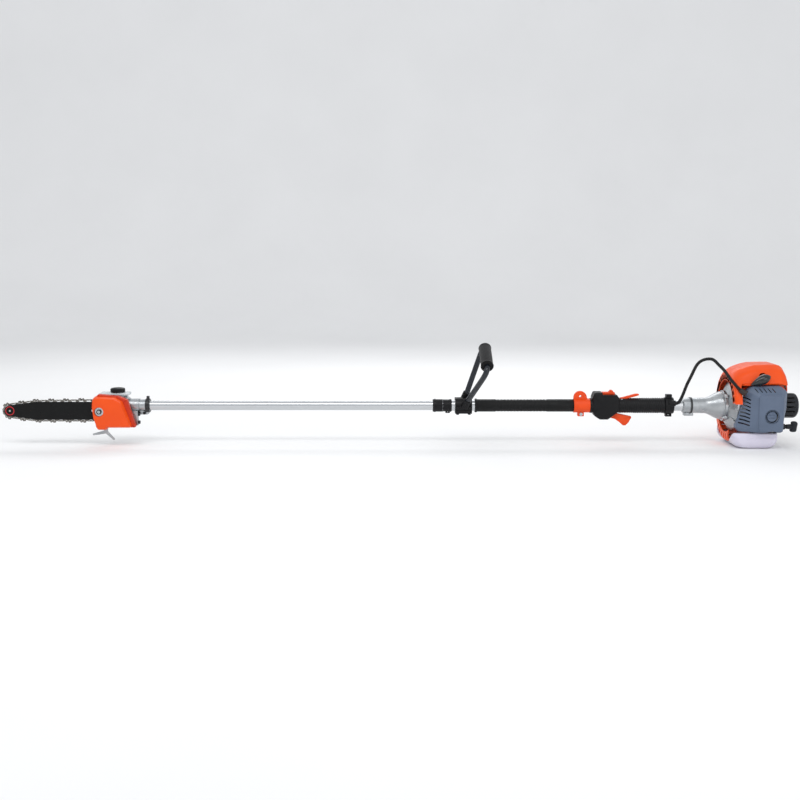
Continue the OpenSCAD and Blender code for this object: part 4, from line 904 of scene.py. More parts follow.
def wrapped(circles: list[Triple], count: int = 72) -> Array:
    """The outline of a band pulled tight round circles.

    At angle t, with n = (cos t, sin t), it is the circle's point c + r n for the circle whose
    c.n + r is greatest.

    Args:
        circles: Each circle's middle and radius.
        count: Points round the outline.

    Returns:
        The outline, (count, 2).
    """
    t = np.arange(count) * TURN / count
    n = np.stack([np.cos(t), np.sin(t)], axis=1)
    given = np.array(circles, dtype=float)
    best = np.argmax(n @ given[:, :2].T + given[:, 2], axis=1)
    return given[best, :2] + given[best, 2:] * n


def turn(axis: int, degrees: float) -> Array:
    """The 3x3 matrix of a turn about one axis, the right-hand way."""
    c, s = math.cos(math.radians(degrees)), math.sin(math.radians(degrees))
    j, k = (axis + 1) % 3, (axis + 2) % 3
    made = np.eye(3)
    made[j, j], made[j, k], made[k, j], made[k, k] = c, -s, s, c
    return made


# ---- Room ------------------------------------------------------------------------------------


@dataclass
class Studio:
    """The camera, a pale sweep of floor, and soft lights."""

    aim: Triple = (-0.495, 0.0, -0.011)
    distance: float = 3.0
    elevation: float = 8.0
    focal_px: float = 1090.9
    image_px: float = 800.0
    floor_z: float = CAD_BOX[0][2] - 0.0005
    floor_front: float = -7.0
    floor_half_width: float = 8.0
    wall_y: float = 3.2
    wall_top: float = 5.5
    sweep_r: float = 1.6

    def camera(self) -> None:
        """Sets the camera at the side view's distance and angle."""
        data = bpy.data.cameras.new("camera")
        data.sensor_width = 36.0
        data.lens = self.focal_px * data.sensor_width / self.image_px
        data.clip_end = 60
        obj = bpy.data.objects.new("camera", data)
        tilt = math.radians(self.elevation)
        back = Vector((0, -math.cos(tilt), math.sin(tilt)))
        obj.location = Vector(self.aim) + back * self.distance
        obj.rotation_mode = "QUATERNION"
        obj.rotation_quaternion = (-back).to_track_quat("-Z", "Y")
        bpy.context.scene.collection.objects.link(obj)
        bpy.context.scene.camera = obj

    def floor(self) -> None:
        """Lays a pale floor that curves up behind the saw into a wall.

        Its profile is flat, then a quarter circle of radius r, then upright: y = y0 + r sin s
        and z = r (1 - cos s).
        """
        r = self.sweep_r
        s = np.linspace(0, math.pi / 2, 17)
        y = np.concatenate([[self.floor_front], self.wall_y + r * np.sin(s), [self.wall_y + r]])
        z = np.concatenate([[0.0], r * (1 - np.cos(s)), [self.wall_top]]) + self.floor_z
        x = np.array([-self.floor_half_width, self.floor_half_width])
        points = np.stack([np.repeat(x, len(y)), np.tile(y, 2), np.tile(z, 2)], axis=1)
        i = np.arange(len(y) - 1)
        faces = np.stack([i, i + len(y), i + len(y) + 1, i + 1], axis=1)
        mesh = bpy.data.meshes.new("floor")
        mesh.from_pydata(points.tolist(), [], faces.tolist())
        mesh.polygons.foreach_set("use_smooth", np.ones(len(faces), dtype=bool))
        obj = bpy.data.objects.new("floor", mesh)
        bpy.context.scene.collection.objects.link(obj)
        paper = Finish("White paper sweep, uncoated", "#f4f4f4", "#f1f1f1", 0.9, 0.03,
                       mottle_mm=600, grain_mm=3, relief_mm=0.01, specular=0.2)
        mesh.materials.append(paper.material())

    def light(self, name: str, place: Triple, size: tuple[float, float], watts: float) -> None:
        """Hangs one soft rectangular light that faces the saw.

        Args:
            name: The light's name.
            place: Where it hangs, in metres.
            size: Its width and height.
            watts: Its power.
        """
        data = bpy.data.lights.new(name, "AREA")
        data.shape, data.size, data.size_y, data.energy = "RECTANGLE", *size, watts
        obj = bpy.data.objects.new(name, data)
        obj.location = place
        aim = Vector((self.aim[0] + 0.3 * (place[0] - self.aim[0]), 0, 0)) - Vector(place)
        obj.rotation_mode = "QUATERNION"
        obj.rotation_quaternion = aim.to_track_quat("-Z", "Y")
        bpy.context.scene.collection.objects.link(obj)

    def build(self) -> None:
        """Makes the camera, the floor, the sky and the lights."""
        self.camera()
        self.floor()
        world = bpy.data.worlds.new("room")
        world.use_nodes = True
        sky = world.node_tree.nodes["Background"]
        sky.inputs["Color"].default_value = linear("#f6f8fb")
        sky.inputs["Strength"].default_value = 0.82
        bpy.context.scene.world = world
        bpy.context.scene.view_settings.view_transform = "Standard"
        self.light("key", (-0.9, -1.7, 2.1), (3.2, 0.8), 26)
        self.light("fill", (1.6, -2.4, 0.7), (1.6, 1.4), 8)
        self.light("rim", (-0.3, 1.9, 1.6), (3.0, 0.8), 20)


# ---- Saw head --------------------------------------------------------------------------------


@dataclass
class SawHead:
    """The bar's printed nose, the chain, its cover, the oil tank and the limb hook."""

    out_x: float = -1262.0
    nose_x: float = -1557.0
    bar_y: float = -32.0
    bar_z: float = -10.0
    bar_half: float = 24.5
    nose_r: float = 15.0
    chain_r: float = 18.0
    nose_l: float = 72.0
    tail_r: float = 8.0
    tail_gap: float = 6.0
    pitch: float = 9.525
    chain_l: float = 658.0
    bolt_x: float = -1309.0
    filler_x: float = -1270.0

    def chain_path(self, grow: float, count: int) -> tuple[Array, Array]:
        """The chain's line round the bar and the drive sprocket.

        It is the convex outline round four circles, as a taut band runs: at direction t the
        band touches the circle whose x cos t + z sin t + r is greatest.

        Args:
            grow: Distance outside the bar's edge.
            count: Points wanted.

        Returns:
            Points in X and Z, (count, 2), evenly spaced, and their outward normals.
        """
        tail = self.out_x - self.chain_r - self.tail_gap - self.tail_r
        rise = self.bar_half - self.tail_r
        centres = np.array([
            [self.nose_x, self.bar_z, self.nose_r],
            [self.nose_x + self.nose_l, self.bar_z, self.bar_half],
            [tail, self.bar_z + rise, self.tail_r],
            [tail, self.bar_z - rise, self.tail_r],
            [self.out_x, 0, self.chain_r],
        ])
        t = np.linspace(0, TURN, 2880, endpoint=False)
        way = np.stack([np.cos(t), np.sin(t)], axis=1)
        reach = way @ centres[:, :2].T + centres[:, 2]
        best = centres[np.argmax(reach, axis=1)]
        band = best[:, :2] + way * (best[:, 2:] + grow)
        outline = even_outline(band, count)
        return outline, outline_normals(outline)

    def chain(self) -> None:
        """Builds the cutting chain link by link.

        Tie straps sit in pairs beside each drive link, and every fourth pair is a cutter with
        a depth gauge and a hooked tooth, left and right in turn. Each link is a flat outline
        carried across its thickness, then copied along the band with its own turn.
        """
        steps = 2 * round(self.chain_l / (2 * self.pitch))
        line, normal = self.chain_path(3.0, steps)
        along = np.stack([normal[:, 1], -normal[:, 0]], axis=1)

        def matrices(pick: Array) -> Array:
            """Turns that lay a link's X along the band and its Z outwards."""
            made = np.zeros((len(pick), 3, 3))
            made[:, 0, 0], made[:, 2, 0] = along[pick, 0], along[pick, 1]
            made[:, 1, 1] = 1
            made[:, 0, 2], made[:, 2, 2] = normal[pick, 0], normal[pick, 1]
            return made

        def shifts(pick: Array, y: float) -> Array:
            """Places of links, moved across the bar by y."""
            across = np.full(len(pick), self.bar_y + y)
            return np.stack([line[pick, 0], across, line[pick, 1]], axis=1)

        def lay(
            outline: Array, y0: float, y1: float, edge: float, pick: Array, y: float
        ) -> Surface:
            """One kind of link, carried from y0 to y1, at its places along the band."""
            link = Surface.slab(outline, y0, y1, edge, 2)
            return link.repeated(matrices(pick), shifts(pick, y))

        strap = round_corners(
            np.array([[-8, -2.4], [-2, -1.6], [2, -1.6], [8, -2.4], [8, 2.4], [2, 1.7],
                      [-2, 1.7], [-8, 2.4]]),
            np.array([2.2, 2, 2, 2.2, 2.2, 2, 2, 2.2]), 4)
        drive = round_corners(
            np.array([[-7.5, 1.4], [-6, -2.5], [-2.4, -5.5], [0.2, -7.6], [2.6, -5.2],
                      [6, -2.5], [7.5, 1.4]]),
            np.array([1.2, 1.5, 1.4, 0.7, 1.2, 1.5, 1.2]), 3)
        cutter = round_corners(
            np.array([[-8, -2.4], [8, -2.4], [8, 1.2], [7.4, 4.6], [3.6, 4.8], [2.4, 2.0],
                      [0.4, 2.0], [-1, 5.6], [-7.6, 4.6], [-8, 1.6]]),
            np.array([2.0, 2.0, 1.6, 1.1, 0.9, 1.2, 1.0, 0.4, 0.8, 1.4]), 3)
        # the top plate that a cutter's tooth carries over the bar's groove
        plate = round_corners(
            np.array([[-7.4, 3.9], [-0.9, 4.9], [-0.9, 5.7], [-7.4, 4.7]]), 0.2, 2)
        all_links = np.arange(steps)
        drives, gaps = all_links[::2], all_links[1::2]
        # a plain strap, not a cutter, sits on the very tip of the nose
        cutters, straps = gaps[::2], gaps[1::2]
        parts = [lay(drive, -0.65, 0.65, 0.15, drives, 0)]
        for side in (-1, 1):
            mine, other = cutters[(side > 0)::2], cutters[(side < 0)::2]
            parts += [
                lay(strap, -0.7, 0.7, 0.25, straps, side * 1.5),
                lay(cutter, -0.8, 0.8, 0.2, mine, side * 1.6),
                lay(strap, -0.7, 0.7, 0.25, other, side * 1.5),
                lay(plate, -1.7 * (side > 0), 1.7 * (side < 0), 0.15, mine, side * 1.6),
            ]
        chain = merged(*parts).piece("saw_chain_links", Finishes.CHAIN_STEEL, Body.FRONT)
        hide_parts("saw_chain")
        head = Surface.lathe(np.array([[-2.55, 0.7], [-2.55, 1.1], [-2.35, 1.5], [2.35, 1.5],
                                       [2.55, 1.1], [2.55, 0.7]]), (0, 0, 0), 1, 10)
        pins = []
        for offset in (-self.pitch / 2 + 0.2, self.pitch / 2 - 0.2):
            moved = Surface(head.points + np.array([offset, 0, 0]), head.quads, head.tris)
            pins.append(moved.repeated(matrices(gaps), shifts(gaps, 0)))
        merged(*pins).piece("saw_chain_rivets", Finishes.RIVET, Body.FRONT)

    def cover(self) -> None:
        """Builds the sprocket cover: a deep flank with a raised face that slopes in on it.

        The face's outline shrinks evenly by 4.5 (1 - s) from the flank to its flat front.
        """
        x = self.out_x
        rim = round_corners(np.array(
            [[-51, 36], [3, 31], [26, 21], [47, -50], [46, -55], [-27, -54], [-32, -61], [-54, -61],
             [-60, -54], [-65, -27], [-69, 2], [-64, 26]], dtype=float) + [x, 0], 2.4, 5)
        face = round_corners(np.array(
            [[-57, 27], [-6, 24], [11, 14], [34, -51], [-29, -51], [-34, -57], [-52, -57],
             [-62, -27], [-65, 2], [-63, 21]], dtype=float) + [x, 0], 2.4, 5)
        flank = Surface.slab(rim, -43, -26, 3, 5, 0.3)
        y = np.array([-58, -57.8, -57.1, -56, -43, -41])
        spread = np.array([-1.6, -0.8, -0.1, 0.4, 4.2, 4.2])
        panel = Surface.stack(y, grown(np.repeat(face[None], len(y), axis=0), spread), 1)
        # the flank wears the darker orange, painted shade; the raised face joined on next keeps the
        # plain orange
        obj = flank.piece("sprocket_cover_shell", Finishes.ORANGE_PAINTED_SHADE, Body.FRONT, 30)
        carve(obj, panel, Finishes.ORANGE, 30, Way.JOIN)
        hollow = Surface.slab(rim - outline_normals(rim) * 2.5, -40.5, -24, 1)
        carve(obj, hollow, Finishes.ORANGE_SATIN, 30)
        # the walls of the bar's opening are black, darker than the orange cover: painted shade
        carve(obj, Surface.block((x - 92, -38, -45), (x - 50, -20, 25), 1), Finishes.BLACK, 30)
        # the bolt's recess is lined with the same darker orange, painted shade
        recess = np.array([[-60, 13.2], [-58, 12.6], [-57.2, 12.3], [-52, 12.3]])
        dish = Surface.lathe(recess, (self.bolt_x, 0, self.bar_z), 1, 56)
        carve(obj, dish, Finishes.ORANGE_PAINTED_SHADE, 30)
        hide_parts("sprocket_cover")

    def print_mark(self) -> None:
        """Prints the ring and the dot that mark the sprocket at the bar's nose."""
        y = node_box("guide_bar")[0][1]
        ring = np.array([[y - 0.12, 10.2], [y - 0.12, 12.2], [y + 0.2, 12.2], [y + 0.2, 10.2]])
        Surface.lathe(ring, (self.nose_x, 0, self.bar_z), 1, 56, ring=True).piece(
            "bar_nose_ring", Finishes.RED_INK, Body.FRONT)
        dot = np.array([[y - 0.5, 0.2], [y - 0.45, 1.8], [y - 0.2, 2.5], [y + 0.2, 2.5]])
        Surface.lathe(dot, (self.nose_x, 0, self.bar_z), 1, 32).piece(
            "bar_nose_rivet", Finishes.RIVET, Body.FRONT)

    def oil(self) -> None:
        """Moulds the oil tank with its strap to the filler, and the filler's ribbed cap."""
        low, high = node_box("oil_tank")
        outline = round_corners(np.array(
            [[-1322, -38], [-1290, -38], [-1290, 28.5], [-1238, 28.5], [-1238, 36], [-1322, 36]],
            dtype=float), np.array([7, 5, 4, 2, 3, 7.0]), 6)
        obj = Surface.slab(outline, max(low[1], -18.6), min(high[1], 24), 4).piece(
            "oil_tank_shell", Finishes.OIL_TANK, Body.FRONT)
        neck = np.array([[34, 16.5], [36, 17.4], [36.9, 17.0], [37.2, 16]])
        Surface.lathe(neck, (self.filler_x, 0, 0), 2, 48).piece(
            "oil_tank_neck", Finishes.OIL_TANK, Body.FRONT)
        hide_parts("oil_tank")
        foot = (self.filler_x, 0, 37)
        ribbed_cap("oil_cap_ribbed", foot, 20, 13, 16, Body.OIL_CAP, "oil_cap")

    def hook(self) -> None:
        """Casts the limb hook: three tapered arms, each a band round two circles."""
        arms = [[(-1303, -53, 7), (-1302, -70, 5)], [(-1303, -71, 4.6), (-1336, -78, 2.6)],
                [(-1302, -70, 4.6), (-1281, -91, 2.6)]]
        first, *rest = [Surface.slab(wrapped(arm), -19, -13, 1.6, 4) for arm in arms]
        obj = first.piece("limb_hook_cast", Finishes.CAST, Body.FRONT)
        for arm in rest:
            carve(obj, arm, Finishes.CAST, way=Way.JOIN)
        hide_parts("limb_hook")

    def build(self) -> None:
        """Makes the head's pieces."""
        self.chain()
        self.cover()
        self.print_mark()
        self.oil()
        self.hook()


# ---- Loop handle -----------------------------------------------------------------------------


@dataclass
class LoopHandle:
    """The bent tube loop and its foam grip."""

    clamp_x: float = -321.0
    height: float = 164.0
    grip_l: float = 96.0
    grip_d: float = 33.0
    bar_d: float = 15.0
    roll: float = 25.0
    lean: float = 20.0

    def frame(self) -> Array:
        """The turn of the handle's own frame: lean back, then roll round the pole."""
        return turn(0, self.roll) @ turn(1, self.lean)

    def bar(self) -> None:
        """Bends the tube: up one leg, over the top and down the other, on one smooth line."""
        half = self.grip_l / 2
        side = np.array([[0, 15.5, 18], [0, 29.5, 52], [0, 46, 94], [0, 60, 130],
                         [0, half + 16, 146], [0, half + 15, 156], [0, half + 8, 162.3],
                         [0, half - 2, self.height], [0, half - 14, self.height]])
        mirror = side[::-1] * np.array([1, -1, 1])
        path = smooth_path(np.vstack([side, [[0, 0, self.height]], mirror]), 150)
        made = Surface.tube(path, self.bar_d / 2, 24, up=(1.0, 0.0, 0.0))
        obj = made.placed(self.frame(), (self.clamp_x, 0, 0)).piece(
            "loop_tube", Finishes.LOOP_STEEL, Body.REAR)
        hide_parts("loop_bar")

    def grip(self) -> None:
        """Turns the foam grip: barrelled a little, with a rolled lip at each end."""
        half, r = self.grip_l / 2, self.grip_d / 2
        s = np.linspace(-1, 1, 61)
        swell = 0.5 * (1 - s**2) + 1.3 * np.exp(-(((np.abs(s) - 0.955) / 0.035) ** 2))
        body = np.stack([s * half, r - 0.3 + swell], axis=1)
        end = np.array([[half, r - 1.5], [half - 0.6, r - 5], [half - 0.2, self.bar_d / 2 + 0.3]])
        profile = np.vstack([end[::-1] * np.array([-1, 1]), body, end])
        foam = Surface.lathe(profile, (0, 0, self.height), 1, 56)
        grip = foam.placed(self.frame(), (self.clamp_x, 0, 0)).piece(
            "loop_foam_grip", Finishes.FOAM, Body.REAR, 50)
        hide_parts("loop_grip")

    def build(self) -> None:
        """Makes the loop and its grip."""
        self.bar()
        self.grip()


# ---- Controls --------------------------------------------------------------------------------


@dataclass
class Controls:
    """The sleeve, the control housing with its grip, and what the fingers move."""

    housing_x: float = 27.0
    grip: Triple = (99.0, 232.0, 21.0)

    def sleeve(self) -> None:
        """Turns the rubber sleeve: thicker ends, a lip, and shallow rings between them.

        Between its ends the radius is 16.4 + 0.25 cos(2 pi x / 9).
        """
        x = np.linspace(-231, -93, 139)
        rings = np.stack([x, 16.4 + 0.25 * np.cos(x * TURN / 9)], axis=1)
        profile = np.vstack([
            [[-290, POLE_R], [-289.6, 18.4], [-288.6, 19.1], [-285, 19.1], [-284, 18.4],
             [-283, 17.2], [-234, 17.2], [-232, 16.7]], rings,
            [[-92, 16.7], [-90, 17.2], [-19.5, 17.2], [-18.2, 16.4], [-18, POLE_R]]])
        obj = Surface.on_pole(profile, ring=True).piece(
            "pole_sleeve_ringed", Finishes.RUBBER, Body.REAR)
        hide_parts("pole_sleeve")

    def housing(self) -> None:
        """Moulds the control housing in one with its collar and the ribbed rear grip.

        The grip's radius is R - 0.35 (1 - cos(2 pi x / 6)) along its length.
        """
        x = self.housing_x
        outline = round_corners(np.array(
            [[5, 24], [10, 38], [66, 38], [80, 20], [78, -14], [48, -37], [26, -37], [12, -28],
             [5, -16]], dtype=float) + [x, 0], np.array([4, 6, 9, 8, 8, 8, 8, 6, 4.0]), 7)
        obj = Surface.slab(outline, -22, 22, 6, 7).piece("control_shell", Finishes.BLACK, Body.REAR)
        x0, x1, r = self.grip
        along = np.linspace(x0 + 12, x1 - 8, 113)
        ribs = np.stack([along, r - 0.35 * (1 - np.cos((along - x0) * TURN / 6))], axis=1)
        grip = np.vstack([[[x0, 4], [x0, r - 1]], [[x0 + 11, r]], ribs,
                          [[x1 - 7, r], [x1 - 2, r], [x1 - 0.6, r - 0.8], [x1, r - 2], [x1, 4]]])
        collar = np.array([[26, 4], [26, 18.6], [26.6, 20], [27.6, 20.5], [41, 20.5], [41, 4]])
        carve(obj, Surface.on_pole(grip, 72), Finishes.BLACK, way=Way.JOIN)
        carve(obj, Surface.on_pole(collar), Finishes.BLACK, way=Way.JOIN)
        # the halves meet in a seam along the top and the bottom
        seam = Surface.block((x + 2, -0.25, 35), (x + 74, 0.25, 39), 0.1)
        carve(obj, merged(seam, seam.placed(turn(0, 180), (0, 0, 1))), Finishes.BLACK)
        # wells of the switch, the trigger and the lever, then the ledge beside the switch
        for low, high in (
            ((57, -9.1, 29.9), (101, 9.5, 45)),
            ((77, -7.5, -45), (146, 7.5, -16.2)),
            ((107, -6.5, 15.8), (167, 6.5, 40)),
            ((58, -30, 31), (100, 30, 46)),
        ):
            carve(obj, Surface.block(low, high, 1), Finishes.BLACK)
        bore = np.array([[20, POLE_R], [240, POLE_R]])
        carve(obj, Surface.on_pole(bore), Finishes.BLACK)
        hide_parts("control_left", "control_right")

    def finger_parts(self) -> None:
        """Moulds the trigger, the lockout lever and the stop switch."""
        shapes = (
            ("trigger_blade", Body.TRIGGER, "throttle_trigger", (88, -25), 6.5, 2.0,
             [[-7, 2], [-8, -8], [8, -12], [22, -22], [31, -30], [38, -30], [46, -22], [53, -9],
              [53, -5], [4, 6]]),
            ("lockout_blade", Body.LOCKOUT, "lockout_lever", (113, 18.5), 5.5, 1.1,
             [[-3, -1.8], [-4, 3], [6, 5], [38, 14], [47, 14], [49, 10.5], [40, 7.5], [10, -0.5],
              [4, -2]]),
        )
        for name, body, node, foot, half, edge, corners in shapes:
            outline = round_corners(np.array(corners, dtype=float) + foot, 1.4, 5)
            blade = Surface.slab(outline, -half, half, edge, 5)
            obj = blade.piece(name, Finishes.ORANGE_SATIN, body)
            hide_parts(node)
        slide = Surface.block((58, -9, 30), (94, 9, 37.5), 1.4)
        thumb = round_corners(np.array([[76, 36], [82, 43], [87, 43], [92, 36.0]]), 1.2, 5)
        obj = slide.piece("stop_switch_slide", Finishes.ORANGE_SATIN, Body.SWITCH)
        carve(obj, Surface.slab(thumb, -8, 8, 1, 4), Finishes.ORANGE_SATIN, way=Way.JOIN)
        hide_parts("stop_switch")

    def build(self) -> None:
        """Makes the sleeve, the housing and the moving controls."""
        self.sleeve()
        self.housing()
        self.finger_parts()


# ---- Control cable ---------------------------------------------------------------------------


@dataclass
class Conduit:
    """The corrugated conduit of the throttle cable, from the rear grip to the air cleaner."""

    diameter: float = 9.0
    points: Array = field(
        default_factory=lambda: np.array(
            [
                [254, -17, -18], [264, -17.5, -17], [271, -19.5, -8], [277.5, -23, 10],
                [285, -28, 35], [294.5, -34, 60], [304, -39.5, 85], [311.5, -43.5, 97],
                [320.5, -47.5, 104], [331, -52, 107.5], [342, -57, 107.5], [349.5, -60.5, 103],
                [357, -64, 95], [372, -71, 79], [390, -79, 53.5], [412, -88, 28], [427, -94, 18],
            ],
            dtype=float,
        )
    )

    def build(self) -> None:
        """Sweeps a tube whose radius rises and falls with each corrugation."""
        # the CAD's route is in the row frame, so it is brought to the pole's axis first
        fine = smooth_path(self.points - np.array([0, 0, AXIS_Z]), 600)
        length = float(np.sum(np.linalg.norm(np.diff(fine, axis=0), axis=1)))
        run = np.linspace(0, length, len(fine))
        ribs = 0.32 * np.sin(run * TURN / 4.2)
        hose = Surface.tube(fine, self.diameter / 2 - 0.25 + ribs, 20)
        obj = hose.piece("cable_conduit_tube", Finishes.CONDUIT, Body.REAR, 60)
        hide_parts("cable_conduit")
        swell = np.concatenate([[5.0, 6.4], np.linspace(6.6, 7.6, 34), [8.4, 8.6, 8.6, 8.0]])
        boot = Surface.tube(fine[-40:], swell, 28)
        boot.piece("conduit_boot", Finishes.BROWN_RUBBER, Body.REAR)
        path = [row_point(tuple(p)) for p in fine[::6]] + [row_point(tuple(fine[-1]))]
        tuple(path[0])
        log.info("conduit: %.0f mm long", length)


# ---- Engine ----------------------------------------------------------------------------------


@dataclass
class EngineCovers:
    """The orange hood and fan ring, the grey air cleaner and the starter's housing."""

    fan_x: float = 397.0
    case_x: float = 447.0
    cyl_x: float = 477.0
    rear_x: float = 507.0
    fan_r: float = 97.0
    wall: float = 2.5
    cleaner_back: float = -58.0
    cleaner_front: float = -105.0
    knob: tuple[float, float] = (495.0, -16.0)

    def beside(self) -> Surface:
        """The room that the air cleaner takes on the near side."""
        return Surface.block((418, -115, -60), (600, -49.4, 64.3), 1)

    def hood(self) -> None:
        """Builds the hood: cross-sections in Y and Z stacked along X.

        At the fan the section is an arc of the fan ring, and over the cylinder it has the
        hood's own ledge, shoulders and flat top. The mix runs smoothly from one to the other,
        and the top falls away in a rounded brow at the rear.
        """
        lean = np.radians([80, 66, 52, 36, 18, -18, -36, -52, -66, -80])
        arc = 98.6 * np.stack([-np.sin(lean), np.cos(lean)], axis=1)
        hood = np.array(
            [[-50, 24], [-50.5, 64.5], [-75, 66.5], [-60, 103], [-38, 117.4], [38, 117.4],
             [58, 108], [92, 92], [98, 68], [98, 24]], dtype=float)
        arc_r = np.full(10, 60.0)
        hood_r = np.array([2, 3, 5, 24, 16, 16, 14, 20, 14, 3], dtype=float)
        x = np.array([399, 400.5, 403, 407, 413, 418, 424, 431, 440, 449, 451, 463, 500, 520, 530,
                      537, 543, 547, 549.5, 551], dtype=float)
        top = np.array([84, 90, 94, 98, 102, 104.5, 106.5, 108.5, 111, 113.6, 114, 116.6, 117.4,
                        117.2, 114.5, 109, 99, 86, 70, 56])
        mix = np.clip((x - 403) / 42, 0, 1)
        mix = mix**2 * (3 - 2 * mix)
        tuck = np.clip((x - 417) / 8, 0, 1)
        shape = between(arc, hood, mix)
        shape[:, :2] = between(arc[:2], np.array([[-51, 24], [-51, 64.5]]), tuck)
        # everything above z = 20 is squeezed so that the crown meets the top line
        z = shape[..., 1]
        squeeze = (top - 20) / (z[:, 4] - 20)
        shape[..., 1] = np.where(z > 20, 20 + (z - 20) * squeeze[:, None], z)
        shape[:, 1, 1] = np.minimum(shape[:, 1, 1], 64.5)
        narrow = np.interp(x, [399, 400.5, 403, 407, 530, 543, 549.5, 551],
                           [0.9, 0.95, 0.98, 1, 1, 0.97, 0.93, 0.88])
        shape[..., 0] *= narrow[:, None]
        foot = np.interp(x, [399, 448, 452, 551], [18, 18, 40, 40])
        shape[:, 0, 1], shape[:, 9, 1] = foot, foot
        radii = between(arc_r, hood_r, mix)
        where = np.unique(np.concatenate([x, np.linspace(399, 551, 58)]))
        outlines = corners_at(x, shape, radii, where)
        hood_shell = Surface.stack(where, outlines, 0)
        deep = shape.copy()
        deep[:, [0, 9], 1] = -40
        inner = grown(corners_at(x, deep, radii, where), -self.wall)
        scale = self.wall / 76
        hollow = Surface.stack(475 + (where - 475) * (1 - scale), inner, 0)
        obj = hood_shell.piece("engine_hood", Finishes.ORANGE, Body.REAR)
        plug = Surface.lathe(np.array([[-110, 11], [-40, 11]]), (self.cyl_x + 1, 0, 86), 1, 40)
        front = Surface.on_pole(np.array([[380, 71], [404, 71]]), 72)
        for cutter in (self.beside(), hollow, plug, front):
            carve(obj, cutter, Finishes.ORANGE_SATIN)
        slot = round_corners(np.array([[-3.5, -9], [3.5, -9], [4.5, 9], [-2.5, 9]]), 2.5, 5)
        vent = Surface.slab(slot, -110, -52, 0.2, 2).placed(turn(1, 14), (421, 0, 60))
        # the vent's cut walls are near-black, painted shade
        carve(obj, vent, Finishes.SLOT_SHADE)
        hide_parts("engine_cover")

    def fan_ring(self) -> None:
        """Turns the fan ring, opens its near side for the air cleaner and cuts its vents."""
        r, x0, x1 = self.fan_r, self.fan_x + 2, self.case_x + 2
        s = np.linspace(0, math.pi / 2, 9)
        rim = np.stack([x0 + 9 * (1 - np.sin(s[::-1])), r - 9 * (1 - np.cos(s[::-1]))], axis=1)
        inner = np.stack([x0 + 9 - 6.5 * np.sin(s), r - 9 + 6.5 * np.cos(s)], axis=1)
        profile = np.vstack([
            [[x0 + 0.6, 72], [x0, 72.6], [x0, 80]], rim,
            [[x1 - 0.8, r], [x1, r - 0.8], [x1, r - self.wall]], inner,
            [[x0 + 2.5, 72.6], [x0 + 2, 72]],
        ])
        obj = Surface.on_pole(profile, 128, ring=True).piece("fan_ring", Finishes.ORANGE, Body.REAR)
        mouth = Surface.block((x0 - 6, -112, -112), (x1 + 6, -38, 16), 1)
        carve(obj, mouth, Finishes.ORANGE_SATIN)
        carve(obj, self.beside(), Finishes.ORANGE_SATIN)
        vent = Surface.block((x0 - 3, -2.8, 77), (x0 + 3.6, 2.8, 91), 1.2)
        carve(obj, vent.around(np.arange(50, 311, 13) - 90.0), Finishes.ORANGE_SATIN)
        side = Surface.block((x0 + 14, -2.6, 90), (x1 - 10, 2.6, 99), 1.2)
        # the side slots' cut walls are near-black, painted shade
        carve(obj, side.around(np.arange(-170, -95, 12.5)), Finishes.SLOT_SHADE)

    def cleaner_shapes(self, d: float) -> Surface:
        """The air cleaner cover's block, grown by d.

        Outlines run from the back edge to the face. The flanks swell: the mix towards the
        face grows as the 1.3 power of the depth, and the face's rim is a quarter circle.

        Args:
            d: How far it is grown, below zero for the hollow inside it.

        Returns:
            The closed block.
        """
        back = np.array(
            [[449, 63], [524, 63], [542, 48], [541, 0], [533, -38], [528, -63.4], [500, -63.4],
             [462, -63.4], [415, -59], [406, -48], [422, 17], [435, 52]], dtype=float)
        face = np.array(
            [[464, 41], [520, 41], [526, 35], [527, 0], [527, -40], [526, -58], [500, -59],
             [472, -59], [464, -57], [460.5, -50], [459, 17], [459, 34]], dtype=float)
        radii = np.array([[8, 14, 9, 40, 30, 5, 20, 30, 7, 8, 50, 12],
                          [5, 6, 6, 30, 30, 6, 20, 12, 6, 8, 30, 8]], dtype=float)
        y0, y1 = -76.0, self.cleaner_front + 4
        s = np.linspace(0, 1, 15)
        t = np.linspace(0, math.pi / 2, 7)[1:]
        mix = np.concatenate([[0, 0], s[1:] ** 1.3, np.ones(len(t))])
        y = np.concatenate([[self.cleaner_back, y0], y0 + (y1 - y0) * s[1:], y1 - 4 * np.sin(t)])
        inset = np.concatenate([np.zeros(16), 4 * (1 - np.cos(t))])
        outlines = corners_at(np.array([0.0, 1.0]), np.stack([back, face]), radii, mix, 6, 4)
        return Surface.stack(y - min(d, 0), grown(outlines, d - inset), 1)

    def cleaner(self) -> None:
        """Builds the air cleaner cover with its louvres, its knob well and its arched foot."""
        obj = self.cleaner_shapes(0).piece("air_cleaner_shell", Finishes.SLATE, Body.REAR, 28)
        kx, kz = self.knob
        # the hollow inside is lined charcoal, darker than the slate outside: painted shade
        carve(obj, self.cleaner_shapes(-self.wall), Finishes.CHARCOAL, 28)
        arch = round_corners(np.array(
            [[470, -75], [474, -63], [484, -57.5], [498, -55], [511, -57], [517, -63.5],
             [519, -75]], dtype=float), np.array([1, 6, 10, 12, 8, 4, 1]), 6)
        carve(obj, Surface.slab(arch, -130, -40, 0.5, 2), Finishes.SLATE, 28)
        case = np.array([[self.fan_x - 5, 71.5], [self.case_x + 6, 71.5]])
        carve(obj, Surface.on_pole(case, 96), Finishes.SLATE, 28)
